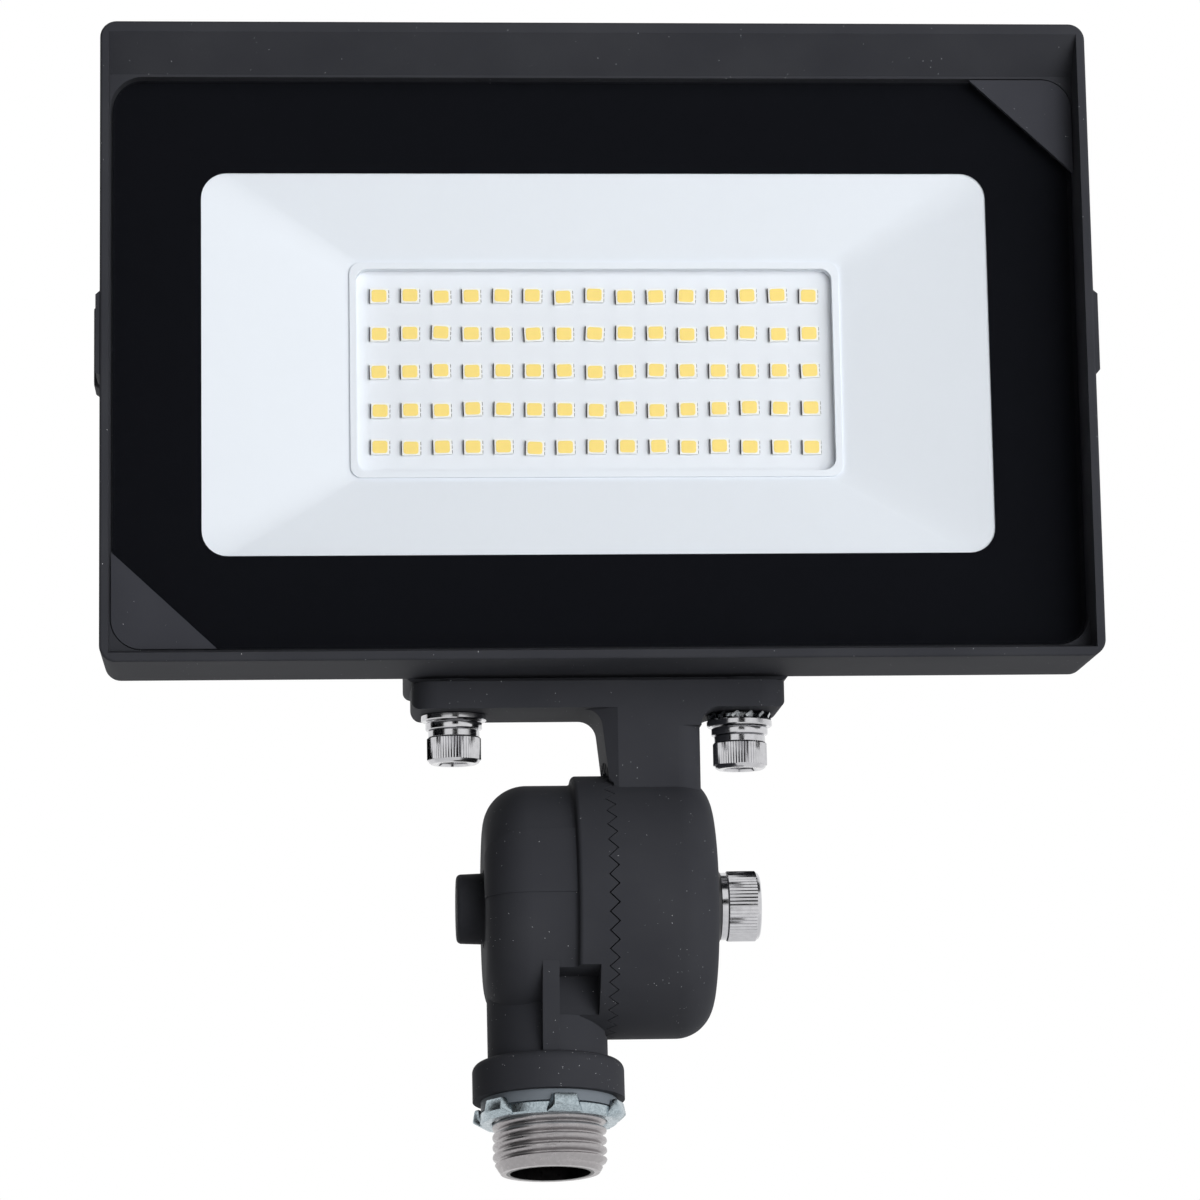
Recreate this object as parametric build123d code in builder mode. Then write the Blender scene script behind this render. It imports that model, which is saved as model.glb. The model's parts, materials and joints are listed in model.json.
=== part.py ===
from build123d import *
import os
from math import cos, radians, sin, tan

# LED floodlight on a serrated knuckle, in millimetres.
# The origin is where the nipple's axis leaves the underside of the collar.
# +Z runs up the nipple's axis, the lit side faces -Y and +X is to the right of someone facing it.

# Knuckle joint
hinge_height = 36.0
teeth_plane = 11.4
tooth_count = 45
tooth_depth = 1.75
teeth_gap = 0.3
teeth_inner_radius = 17.5
ring_radius = 24.3
joint_clearance = 0.6
lean_clicks = 1
tooth_phase = 18.8

# Lower arm
collar_radius = 13.9
collar_height = 7.0
collar_round = 1.8
neck_radius = 11.0
drum_radius = 22.6
drum_left = -11.3
drum_round = 8.0
ring_left = 5.0
ring_step_round = 0.8
rib_thickness = 3.0
rib_drum_angle = 37.6
rib_foot_inset = 1.5
pocket_height = 7.3
pocket_floor = 13.8
pocket_back = 9.2
pocket_disc = 2.3
seam_panel_height = 0.25
seam_panel_start = -26.0
seam_panel_end = 5.7

# Upper arm
upper_drum_right = 30.8
upper_drum_round = 6.9
upper_drum_web = 3.8
flange_width = 68.9
flange_thickness = 5.0
flange_end_round = 4.5
flange_under_round = 1.8
flange_top = 40.7
arm_front = -12.35
arm_depth = 19.95
stem_left_top = 10.2
stem_left_foot = 11.9
stem_right = 28.7
stem_round = 4.4
stem_facet_edge = 13.3
stem_facet_depth = 3.0
stem_fillet = 3.4
duct_width = 10.0
duct_depth = 8.0
duct_corner = 2.0

# Hollow of the knuckle that the wires pass through
boss_radius = 7.0
hollow_radius = 13.2
hollow_left = -8.3
wire_bore_radius = 7.0

# Knuckle hardware
bolt_radius = 4.0
bolt_clearance = 0.3
thread_clearance = 0.05
bolt_head_radius = 6.5
bolt_head_height = 7.4
bolt_washer_radius = 9.0
bolt_washer_thickness = 1.5
nut_flats = 13.0
nut_height = 6.5
nut_proud = 5.0
nut_clearance = 0.15
bolt_socket_flats = 6.0
bolt_collar_radius = 6.25
bolt_collar_length = 1.2
bolt_tip_inset = 0.8
head_round = 0.8
socket_share = 0.5
bolt_washer_edge = 0.3
bolt_washer_crown = 6.6
o_ring_radius = 15.4
o_ring_section = 2.4
o_ring_groove = 0.5

# Nipple, sealing washer and locknut
nipple_radius = 10.4
nipple_length = 13.3
nipple_spigot = 6.0
nipple_chamfer = 2.2
nipple_chamfer_drop = 1.4
nipple_groove_depth = 0.3
nipple_groove_width = 0.6
nipple_groove_gap = 0.2
bore_radius = 7.35
seal_thickness = 2.0
seal_radius = 12.4
locknut_radius = 12.6
locknut_thickness = 2.2
locknut_lug = 1.5
locknut_lug_width = 4.2
locknut_lug_foot = 7.0
locknut_lug_count = 6
locknut_lug_turn = 40.0
locknut_lug_height = 3.1
seat_gap = 0.05

# Head
lip_depth = -31.6
frame_rear = -8.0
head_width = 181.1
head_height = 118.2
head_corner = 3.0
head_x = 10.1
head_foot_rise = 0.6
lip_side = 1.6
lip_top = 2.0
lip_edge = 0.5
floor_thickness = 3.5
visor_run = 6.4
visor_drop = 6.3

# Glass
glass_front = -24.4
glass_thickness = 3.2
glass_foot_rise = 3.4
glass_top_drop = 9.2
glass_corner = 5.5
glass_clearance = 0.45
glass_seat = 4.0
glass_edge = 0.4
chamber_corner = 3.0
glass_gasket_thickness = 1.2
glass_gasket_width = 3.0

# Corner covers
cover_width = 19.5
cover_height = 18.2
cover_thickness = 0.9
cover_overlap = 2.5
cover_clearance = 0.25
cover_peg_radius = 1.5
cover_peg_length = 4.0
cover_peg_inset = 4.6
peg_clearance = 0.1
cover_corner = 5.5

# Reflector
border_side = 16.0
border_top = 17.1
window_corner = 4.7
optic_rise = 0.1
opening_margin_side = 2.55
opening_margin_top = 3.39
opening_corner = 2.2
reflector_wall = 1.2
reflector_rim = 1.2
reflector_rim_rise = 0.5
reflector_flange = 7.0
reflector_gap = 0.2
reflector_foot_gap = 0.1
reflector_low = 1.0
reflector_ear_radius = 4.0
reflector_ear = 3.4
reflector_ear_step = 2.1
reflector_post_radius = 3.0
reflector_screw_out = 4.2
reflector_screw_inset = 10.7

# LED board
board_thickness = 1.6
pad_thickness = 0.3
led_columns = 15
led_rows = 5
led_pitch_x = 5.7
led_pitch_up = 7.13
led_width = 3.5
led_height = 2.8
led_thickness = 0.7
phosphor_width = 2.7
phosphor_height = 2.2
phosphor_thickness = 0.08
board_screw_beside = 11.8
board_screw_above = 8.95
board_edge_side = 6.0
board_edge_top = 5.0
board_corner = 2.0
board_boss_rise = 2.0

# Driver compartment on the back of the head
box_width = 71.0
box_top_drop = 31.0
box_rear = 13.5
box_wall = 3.0
box_edge = 1.5
cover_gasket = 0.8
cover_plate = 2.4
cover_rib = 1.4
cover_rib_pitch = 8.0
cover_rib_count = 7
cover_rib_rise = 3.0
cover_rib_inset = 6.0
cover_screw_inset = 4.2
cover_screw_foot = 15.0
cover_boss_radius = 4.0
flange_screw_spacing = 53.1
screw_boss_radius = 6.2
screw_boss_depth = 11.0
fin_thickness = 1.8
fin_pitch = 7.6
fin_rear = 9.0
fin_slope = 7.0
fins_beside = 6
fins_above = 8
fin_end_inset = 2.0
boss_pad_height = 16.4
boss_pad_depth = 12.0
boss_pad_rise = 1.5
boss_pad_centre = -15.4
boss_pad_rise_up = 3.8
boss_pad_round = 2.0
boss_pad_slope = 35.0
boss_inner_length = 8.0
boss_inner_radius = 4.0
yoke_hole_radius = 2.5
yoke_hole_depth = 8.0

# Small screws, by thread radius
m3 = 1.5
m3_head_radius = 2.8
m3_head_height = 1.6
m3_socket_flats = 2.0
m4 = 2.0
m4_head_radius = 3.5
m4_head_height = 2.8
m4_socket_flats = 2.5
m6 = 3.0
screw_clearance = 0.15
flange_hole_radius = 3.3
m6_head_radius = 5.0
m6_head_height = 6.2
m6_socket_flats = 5.0
flat_washer_radius = 6.05
flat_washer_thickness = 1.2
spring_washer_radius = 5.3
spring_washer_thickness = 1.7
tooth_washer_radius = 5.9
tooth_washer_thickness = 1.4
washer_hole = 3.2
m6_engagement = 8.0
arm_gasket_thickness = 0.5
arm_gasket_inset = 1.0

# Driver
standoff_height = 4.0
standoff_radius = 2.8
pcb_side_gap = 9.5
pcb_end_gap = 12.9
pcb_thickness = 1.6
pcb_hole_inset = 4.0
pcb_rise = 2.9
board_screw_length = 5.6
pcb_screw_length = 5.1
reflector_screw_length = 6.5
earth_screw_length = 3.5
cover_screw_length = 14.0
earth_x = 14.0
earth_up = 11.8
transformer_size = (18.0, 16.0, 13.0)
transformer_base = 2.0
transformer_offset = (-6.0, 4.0)
capacitor_sizes = ((5.0, 14.0, -10.0), (5.0, 14.0, 2.0), (4.0, 12.0, 13.5))
capacitor_offset = 15.0
choke_radius = 6.0
choke_bore = 3.0
choke_height = 6.0
choke_offset = (-12.1, -16.0)
heat_bar_size = (22.0, 2.0, 12.0)
heat_bar_inset = 7.0
transistor_size = (10.0, 4.6, 9.0)
grommet_radius = 4.2
grommet_waist = 3.2
grommet_bore = 2.4
grommet_flange = 1.0
grommet_x = -14.0
grommet_up = 12.8
lead_radius = 0.8
lead_spacing = 2.6
lead_bend = 1.2
lead_front = 1.6
lead_end_inset = 1.9

# Values that follow from those above
lean = lean_clicks * 360 / tooth_count
rise = tooth_depth / 2 / ring_radius
lower_mid = teeth_plane - teeth_gap / 2
upper_mid = teeth_plane + teeth_gap / 2
flange_foot = flange_top - flange_thickness
arm_rear = arm_front + arm_depth
arm_mid = arm_front + arm_depth / 2
box_foot = flange_top + arm_gasket_thickness
head_foot = box_foot + head_foot_rise
head_middle = head_foot + head_height / 2
head_top = head_foot + head_height
inner_width = head_width - 2 * lip_side
glass_width = inner_width - 2 * glass_clearance
glass_height = head_height - glass_foot_rise - glass_top_drop
glass_foot = head_foot + glass_foot_rise
glass_up = glass_foot + glass_height / 2
optic_up = glass_up + optic_rise
window_width = glass_width - 2 * border_side
window_height = glass_height - 2 * border_top
opening_width = (led_columns - 1) * led_pitch_x + led_width + 2 * opening_margin_side
opening_height = (led_rows - 1) * led_pitch_up + led_height + 2 * opening_margin_top
rim_width = opening_width + 2 * reflector_rim
rim_height = opening_height + 2 * reflector_rim
board_screw_x = opening_width / 2 + board_screw_beside
board_screw_up = opening_height / 2 + board_screw_above
board_width = 2 * (board_screw_x + board_edge_side)
board_height = 2 * (board_screw_up + board_edge_top)
boss_pad_up = glass_up + boss_pad_rise_up
glass_back = glass_front + glass_thickness
seat_depth = glass_back + glass_gasket_thickness
floor_front = frame_rear - floor_thickness
pad_front = floor_front - pad_thickness
board_front = pad_front - board_thickness
led_front = board_front - led_thickness
reflector_front = glass_back + reflector_gap
reflector_post = reflector_front + reflector_ear
rim_depth = led_front - reflector_low
pcb_front = frame_rear + standoff_height
pcb_rear = pcb_front + pcb_thickness
lid_front = box_rear + cover_gasket
lid_rear = lid_front + cover_plate
pocket_right = lower_mid - pocket_disc
bolt_seat = upper_drum_right + bolt_washer_thickness + seat_gap
duct_x = (stem_left_foot + stem_right) / 2
box_top = head_top - box_top_drop
box_height = box_top - box_foot
box_up = (box_top + box_foot) / 2
chamber_width = box_width - 2 * box_wall
chamber_height = box_height - 2 * box_wall
pocket_span = glass_height + 2 * glass_clearance
post_width = cover_width - cover_overlap
post_height = cover_height - cover_overlap
clip_width = post_width + 2 * cover_clearance
clip_height = post_height + 2 * cover_clearance
pcb_width = box_width - 2 * pcb_side_gap
pcb_height = box_height - 2 * pcb_end_gap
pcb_up = box_up + pcb_rise
pcb_foot = pcb_up - pcb_height / 2
heat_bar_up = pcb_up + pcb_height / 2 - heat_bar_inset
transformer_spot = (head_x + transformer_offset[0], pcb_up + transformer_offset[1])
choke_spot = (head_x + choke_offset[0], pcb_up + choke_offset[1])
lead_end_up = optic_up - board_height / 2 + lead_end_inset
locknut_top = -2 * seat_gap - seal_thickness
locknut_foot = locknut_top - locknut_thickness
groove_top = locknut_foot - nipple_groove_gap
groove_foot = groove_top - nipple_groove_width

# Planes: the knuckle's axis, and the leaning head with X across, depth to the back and height up
HINGE = Plane(origin=(0, 0, hinge_height), x_dir=(0, -1, 0), z_dir=(1, 0, 0))
AXIAL = Plane(origin=(0, 0, hinge_height), x_dir=(1, 0, 0), z_dir=(0, -1, 0))
HINGE_AXIS = Axis((0, 0, hinge_height), (1, 0, 0))
SEAM = Plane(
    origin=(0, 0, hinge_height),
    x_dir=(1, 0, 0),
    z_dir=(0, sin(radians(seam_panel_start)), -cos(radians(seam_panel_start))),
)
HEAD = Plane(
    origin=(0, 0, hinge_height),
    x_dir=(1, 0, 0),
    z_dir=(0, -sin(radians(lean)), cos(radians(lean))),
)


def head_point(x, depth, up):
    """The place of a point given across, back and up in the leaning head."""
    return HEAD.from_local_coords(Vector(x, depth, up))


def front(depth):
    """A plane across the head at a depth, facing the viewer: X across, up the head."""
    return Plane(origin=head_point(0, depth, 0), x_dir=HEAD.x_dir, z_dir=-HEAD.y_dir)


def level(up):
    """A plane across the head at a height, facing up it: X across, depth to the back."""
    return HEAD.offset(up)


def side(x):
    """A plane square to X in the head: depth to the back, up the head."""
    return Plane(origin=head_point(x, 0, 0), x_dir=HEAD.y_dir, z_dir=HEAD.x_dir)


# One tooth space: its flanks run to the point where the hinge axis meets the teeth's middle plane,
# so that the same cutter leaves teeth on one ring that fit the spaces of the other.
def tooth_space(radius):
    """Three corners of the space, square to the radius, widened past the tips."""
    half = radius * tan(radians(180 / tooth_count))
    root = -rise * radius
    tip = rise * radius / cos(radians(180 / tooth_count))
    over = 1.4
    return [(0, root), (half * over, root + (tip - root) * over), (-half * over, root + (tip - root) * over)]


with BuildPart() as tooth_cutter:
    for reach in (teeth_inner_radius - 2.5, ring_radius + 2.5):
        with BuildSketch(Plane(origin=(reach, 0, 0), x_dir=(0, 1, 0), z_dir=(1, 0, 0))):
            with BuildLine():
                Polyline(*tooth_space(reach), close=True)
            make_face()
    loft(ruled=True)

# Each ring's cutters stand on a plane whose first radius is a tooth of the lower arm
LOWER_TEETH = Plane(
    origin=(lower_mid, 0, hinge_height),
    x_dir=(0, -cos(radians(tooth_phase)), -sin(radians(tooth_phase))),
    z_dir=(1, 0, 0),
)
UPPER_TEETH = Plane(
    origin=(upper_mid, 0, hinge_height),
    x_dir=(0, -cos(radians(tooth_phase)), -sin(radians(tooth_phase))),
    z_dir=(-1, 0, 0),
)

# Lower arm: collar, neck and ribs first, then the drum with its toothed ring over them
with BuildPart() as lower_arm:
    with BuildSketch():
        Circle(collar_radius)
    extrude(amount=collar_height)
    fillet(lower_arm.edges().group_by(Axis.Z)[-1], collar_round)
    with BuildSketch():
        Circle(neck_radius)
    extrude(amount=hinge_height)
    rib_top = drum_radius * sin(radians(rib_drum_angle))
    rib_out = drum_radius * cos(radians(rib_drum_angle))
    with BuildSketch(Plane.YZ):
        with BuildLine():
            Polyline(
                (-rib_out, hinge_height - rib_top),
                (-collar_radius + rib_foot_inset, collar_height),
                (collar_radius - rib_foot_inset, collar_height),
                (rib_out, hinge_height - rib_top),
                close=True,
            )
        make_face()
    extrude(amount=rib_thickness / 2, both=True)
    with BuildSketch(HINGE.offset(lower_mid - tooth_depth / 2)):
        Circle(ring_radius + joint_clearance)
    extrude(amount=collar_radius, mode=Mode.SUBTRACT)
    with BuildSketch(AXIAL):
        with BuildLine():
            FilletPolyline(
                (drum_left, 0),
                (drum_left, drum_radius),
                (ring_left, drum_radius),
                (ring_left, ring_radius),
                (lower_mid + rise * ring_radius, ring_radius),
                (lower_mid + rise * teeth_inner_radius, teeth_inner_radius),
                (lower_mid - tooth_depth / 2, teeth_inner_radius),
                (lower_mid - tooth_depth / 2, 0),
                radius=[0, drum_round, ring_step_round, ring_step_round, 0, 0, 0, 0],
                close=True,
            )
        make_face()
    revolve(axis=HINGE_AXIS)
    # hollows cast into the front and back beside the ribs, under the toothed ring
    with BuildSketch(Plane.XZ.offset(pocket_back)):
        with Locations(((rib_thickness / 2 + pocket_right) / 2, pocket_floor)):
            Rectangle(pocket_right - rib_thickness / 2, pocket_height, align=(Align.CENTER, Align.MIN))
    pocket = extrude(amount=ring_radius, mode=Mode.SUBTRACT)
    mirror(pocket, about=Plane.XZ, mode=Mode.SUBTRACT)
    # shallow panel between the two casting seams, round the front of the drum
    with BuildSketch(SEAM):
        with BuildLine():
            FilletPolyline(
                (ring_left, drum_radius - drum_round - 1),
                (drum_left - seam_panel_height, drum_radius - drum_round - 1),
                (drum_left - seam_panel_height, drum_radius + seam_panel_height),
                (ring_left, drum_radius + seam_panel_height),
                radius=[0, 0, drum_round + seam_panel_height, 0],
                close=True,
            )
        make_face()
    revolve(axis=HINGE_AXIS, revolution_arc=seam_panel_end - seam_panel_start)
    # wire bore, hollow round the bolt, nut pocket, bolt hole and o-ring groove
    with BuildSketch():
        Circle(wire_bore_radius)
    extrude(amount=hinge_height - boss_radius - 2, mode=Mode.SUBTRACT)
    with BuildSketch():
        Circle(nipple_radius + thread_clearance)
    extrude(amount=nipple_spigot, mode=Mode.SUBTRACT)
    with BuildSketch(HINGE.offset(hollow_left)):
        Circle(hollow_radius)
        Circle(boss_radius, mode=Mode.SUBTRACT)
    extrude(amount=ring_radius, mode=Mode.SUBTRACT)
    with BuildSketch(HINGE.offset(drum_left)):
        RegularPolygon(nut_flats / 2 + nut_clearance, 6, major_radius=False)
    extrude(amount=nut_height - nut_proud, mode=Mode.SUBTRACT)
    with BuildSketch(HINGE.offset(drum_left)):
        Circle(bolt_radius + bolt_clearance)
    extrude(amount=2 * ring_radius, mode=Mode.SUBTRACT)
    groove_floor = lower_mid - tooth_depth / 2 - o_ring_groove
    with BuildSketch(HINGE.offset(groove_floor)):
        Circle(o_ring_radius + o_ring_section / 2 + thread_clearance)
        Circle(o_ring_radius - o_ring_section / 2 - thread_clearance, mode=Mode.SUBTRACT)
    extrude(amount=o_ring_section, mode=Mode.SUBTRACT)
    with Locations(LOWER_TEETH):
        with PolarLocations(0, tooth_count, start_angle=180 / tooth_count):
            add(tooth_cutter.part, mode=Mode.SUBTRACT)
lower_arm.part.label = "lower_arm"

with BuildPart() as knuckle_o_ring:
    with BuildSketch(AXIAL):
        with Locations((groove_floor + o_ring_section / 2, o_ring_radius)):
            Circle(o_ring_section / 2)
    revolve(axis=HINGE_AXIS)
knuckle_o_ring.part.label = "knuckle_o_ring"

with BuildPart() as knuckle_nut:
    with BuildSketch(HINGE.offset(drum_left - nut_proud)):
        RegularPolygon(nut_flats / 2, 6, major_radius=False)
        Circle(bolt_radius + thread_clearance, mode=Mode.SUBTRACT)
    extrude(amount=nut_height)
    with BuildSketch(AXIAL):
        with BuildLine():
            Polyline(
                (drum_left - nut_proud, 0),
                (drum_left - nut_proud, nut_flats / 2 - 0.3),
                (drum_left - nut_proud + 0.9, nut_flats * 0.6),
                (drum_left + nut_height, nut_flats * 0.6),
                (drum_left + nut_height, 0),
                close=True,
            )
        make_face()
    revolve(axis=HINGE_AXIS, mode=Mode.INTERSECT)
knuckle_nut.part.label = "knuckle_nut"

# Upper arm: flange and stem from one T-shaped profile, then the drum
with BuildPart() as upper_arm:
    flange_left = head_x - flange_width / 2
    flange_right = head_x + flange_width / 2
    with BuildSketch(front(arm_rear)):
        with BuildLine():
            FilletPolyline(
                (flange_left, flange_top),
                (flange_left, flange_foot),
                (stem_left_top, flange_foot),
                (stem_left_foot, ring_radius - 4),
                (stem_left_foot, 0),
                (stem_right, 0),
                (stem_right, flange_foot),
                (flange_right, flange_foot),
                (flange_right, flange_top),
                radius=[0, flange_under_round, stem_fillet, 0, 0, 0, stem_fillet, flange_under_round, 0],
                close=True,
            )
        make_face()
    extrude(amount=arm_depth)
    with BuildSketch(level(0)):
        with Locations((head_x, arm_mid)):
            RectangleRounded(flange_width, arm_depth, flange_end_round)
    extrude(amount=flange_top, mode=Mode.INTERSECT)
    # rounded right-hand edges of the stem, and the facet on its front left edge
    with BuildSketch(level(0)):
        with Locations((stem_right, arm_mid)):
            Rectangle(2 * stem_round, arm_depth)
        with Locations((stem_right - stem_round, arm_mid)):
            RectangleRounded(2 * stem_round, arm_depth, stem_round - 0.01, mode=Mode.SUBTRACT)
    extrude(amount=flange_foot - stem_fillet, mode=Mode.SUBTRACT)
    with BuildSketch(level(0)):
        with BuildLine():
            Polyline(
                (stem_facet_edge, arm_front),
                (stem_left_top - stem_fillet, arm_front),
                (stem_left_top - stem_fillet, arm_front + stem_facet_depth),
                close=True,
            )
        make_face()
    extrude(amount=flange_foot, mode=Mode.SUBTRACT)
    with BuildSketch(HINGE.offset(0)):
        Circle(ring_radius + joint_clearance)
    extrude(amount=upper_mid + tooth_depth / 2, mode=Mode.SUBTRACT)
    with BuildSketch(AXIAL):
        with BuildLine():
            FilletPolyline(
                (upper_mid + tooth_depth / 2, 0),
                (upper_mid + tooth_depth / 2, teeth_inner_radius),
                (upper_mid - rise * teeth_inner_radius, teeth_inner_radius),
                (upper_mid - rise * ring_radius, ring_radius),
                (upper_drum_right, ring_radius),
                (upper_drum_right, 0),
                radius=[0, 0, 0, 0, upper_drum_round, 0],
                close=True,
            )
        make_face()
    revolve(axis=HINGE_AXIS)
    # hollow round the bolt, wire duct up the stem, bolt hole and screw holes
    with BuildSketch(HINGE.offset(0)):
        Circle(hollow_radius)
        Circle(boss_radius, mode=Mode.SUBTRACT)
    extrude(amount=upper_drum_right - upper_drum_web, mode=Mode.SUBTRACT)
    with BuildSketch(level(boss_radius + 2)):
        with Locations((duct_x, arm_mid)):
            RectangleRounded(duct_width, duct_depth, duct_corner)
    extrude(amount=flange_top - boss_radius, mode=Mode.SUBTRACT)
    with BuildSketch(HINGE):
        Circle(bolt_radius + bolt_clearance)
    extrude(amount=2 * ring_radius, mode=Mode.SUBTRACT)
    with BuildSketch(level(flange_foot - 1)):
        with Locations((head_x, arm_mid)):
            with GridLocations(flange_screw_spacing, 1, 2, 1):
                Circle(flange_hole_radius)
    extrude(amount=flange_thickness + 2, mode=Mode.SUBTRACT)
    with BuildSketch(level(flange_foot)):
        with Locations((head_x, arm_mid)):
            with GridLocations(flange_screw_spacing, 1, 2, 1):
                Circle(flat_washer_radius + screw_clearance)
    extrude(amount=-stem_fillet - 1, mode=Mode.SUBTRACT)
    with Locations(UPPER_TEETH):
        with PolarLocations(0, tooth_count):
            add(tooth_cutter.part, mode=Mode.SUBTRACT)
upper_arm.part.label = "upper_arm"


# Bolt, its washer and its nut lie on the hinge axis
with BuildPart() as bolt_washer:
    with BuildSketch(AXIAL):
        with BuildLine():
            Polyline(
                (upper_drum_right, bolt_radius + thread_clearance),
                (upper_drum_right, bolt_washer_radius),
                (upper_drum_right + bolt_washer_edge, bolt_washer_radius),
                (upper_drum_right + bolt_washer_thickness, bolt_washer_crown),
                (upper_drum_right + bolt_washer_thickness, bolt_radius + thread_clearance),
                close=True,
            )
        make_face()
    revolve(axis=HINGE_AXIS)
bolt_washer.part.label = "bolt_washer"

with BuildPart() as knuckle_bolt:
    with BuildSketch(AXIAL):
        with BuildLine():
            FilletPolyline(
                (drum_left - nut_proud + bolt_tip_inset, 0),
                (drum_left - nut_proud + bolt_tip_inset, bolt_radius),
                (bolt_seat, bolt_radius),
                (bolt_seat, bolt_collar_radius),
                (bolt_seat + bolt_collar_length, bolt_collar_radius),
                (bolt_seat + bolt_collar_length, bolt_head_radius),
                (bolt_seat + bolt_head_height, bolt_head_radius),
                (bolt_seat + bolt_head_height, 0),
                radius=[0, head_round, 0, 0, 0, 0, head_round, 0],
                close=True,
            )
        make_face()
    revolve(axis=HINGE_AXIS)
    with BuildSketch(HINGE.offset(bolt_seat + bolt_head_height)):
        RegularPolygon(bolt_socket_flats / 2, 6, major_radius=False)
    extrude(amount=-bolt_head_height * socket_share, mode=Mode.SUBTRACT)
knuckle_bolt.part.label = "knuckle_bolt"

# Nipple, sealing washer and locknut lie on the row's Z axis
with BuildPart() as threaded_nipple:
    with BuildSketch(Plane.XZ):
        with BuildLine():
            Polyline(
                (bore_radius, nipple_spigot),
                (nipple_radius, nipple_spigot),
                (nipple_radius, groove_top),
                (nipple_radius - nipple_groove_depth, groove_top),
                (nipple_radius - nipple_groove_depth, groove_foot),
                (nipple_radius, groove_foot),
                (nipple_radius, nipple_chamfer - nipple_length),
                (nipple_radius - nipple_chamfer_drop, -nipple_length),
                (bore_radius, -nipple_length),
                close=True,
            )
        make_face()
    revolve(axis=Axis.Z)
threaded_nipple.part.label = "threaded_nipple"

with BuildPart() as seal_washer:
    with BuildSketch(Plane.XY.offset(-seat_gap - seal_thickness)):
        Circle(seal_radius)
        Circle(nipple_radius + thread_clearance, mode=Mode.SUBTRACT)
    extrude(amount=seal_thickness)
seal_washer.part.label = "seal_washer"

with BuildPart() as locknut:
    with BuildSketch(Plane.XY.offset(locknut_foot)):
        Circle(locknut_radius)
        Circle(nipple_radius + thread_clearance, mode=Mode.SUBTRACT)
    extrude(amount=locknut_thickness)
    # lugs bent up round the rim, where a screwdriver bears
    with BuildSketch(Plane.XY.offset(locknut_foot + 0.1)):
        with PolarLocations(locknut_radius, locknut_lug_count, start_angle=locknut_lug_turn):
            Polygon(
                (-0.5, -locknut_lug_foot / 2),
                (locknut_lug, -locknut_lug_width / 2),
                (locknut_lug, locknut_lug_width / 2),
                (-0.5, locknut_lug_foot / 2),
                align=None,
            )
        Circle(locknut_radius - 0.1, mode=Mode.SUBTRACT)
    extrude(amount=locknut_lug_height)
locknut.part.label = "locknut"


# Places shared by several pieces of the head
cover_screw_spots = [
    (head_x + sx * (box_width / 2 - cover_screw_inset), up)
    for sx in (-1, 1)
    for up in (box_foot + cover_screw_foot, box_up, box_top - cover_screw_inset)
]
reflector_screw_spots = [
    (
        head_x + sx * (window_width / 2 + reflector_screw_out),
        optic_up + su * (window_height / 2 - reflector_screw_inset),
    )
    for sx in (-1, 1)
    for su in (-1, 1)
]
board_screw_spots = [
    (head_x + sx * board_screw_x, optic_up + su * board_screw_up) for sx in (-1, 0, 1) for su in (-1, 1)
]
pcb_screw_spots = [
    (head_x + sx * (pcb_width / 2 - pcb_hole_inset), pcb_up + su * (pcb_height / 2 - pcb_hole_inset))
    for sx in (-1, 1)
    for su in (-1, 1)
]
cover_peg_spots = [
    (head_x + s * (inner_width / 2 - cover_peg_inset), glass_up + s * (pocket_span / 2 - cover_peg_inset))
    for s in (-1, 1)
]
flange_screw_xs = [head_x - flange_screw_spacing / 2, head_x + flange_screw_spacing / 2]
flange_screw_spots = [(x, arm_mid) for x in flange_screw_xs]
earth_spot = (head_x + earth_x, box_foot + earth_up)
grommet_spot = (head_x + grommet_x, box_foot + grommet_up)
side_fins = [
    head_x + s * (box_width / 2 + fin_pitch * (i + 0.5)) for s in (-1, 1) for i in range(fins_beside)
]
top_fins = [head_x + fin_pitch * (i - (fins_above - 1) / 2) for i in range(fins_above)]


def rounded(width, height, radius, up, mode=Mode.ADD):
    """A rounded rectangle on the head's middle line, centred at a height."""
    with Locations((head_x, up)):
        RectangleRounded(width, height, radius, mode=mode)


def circles(spots, radius, mode=Mode.ADD):
    """A circle at each spot of the sketch being made."""
    with Locations(*spots):
        Circle(radius, mode=mode)


def corner_triangles(width, height, mode=Mode.ADD):
    """A triangle in the top right and the bottom left corner of the glass pocket."""
    for s in (-1, 1):
        x = head_x + s * inner_width / 2
        up = glass_up + s * pocket_span / 2
        Polygon((x, up), (x - s * width, up), (x, up - s * height), align=None, mode=mode)


def fin_outline(foot, top):
    """The outline of one fin from the back of the floor, sloped at both ends."""
    Polygon(
        (frame_rear - 0.5, foot),
        (frame_rear, foot),
        (fin_rear, foot + fin_slope),
        (fin_rear, top - fin_slope),
        (frame_rear, top),
        (frame_rear - 0.5, top),
        align=None,
    )


def head_screws(spots, seat, facing, size, length):
    """Socket-head screws along the head's depth: the heads stand on the seat, to the front for 1."""
    radius, head_radius, head_height, flats = size
    with BuildPart() as screws:
        with BuildSketch(front(seat)):
            circles(spots, head_radius)
        extrude(amount=facing * head_height)
        with BuildSketch(front(seat)):
            circles(spots, radius)
        extrude(amount=-facing * length)
        with BuildSketch(front(seat - facing * head_height)):
            with Locations(*spots):
                RegularPolygon(flats / 2, 6, major_radius=False)
        extrude(amount=-facing * head_height * socket_share, mode=Mode.SUBTRACT)
    return screws


M3_SCREW = (m3, m3_head_radius, m3_head_height, m3_socket_flats)
M4_SCREW = (m4, m4_head_radius, m4_head_height, m4_socket_flats)

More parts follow.
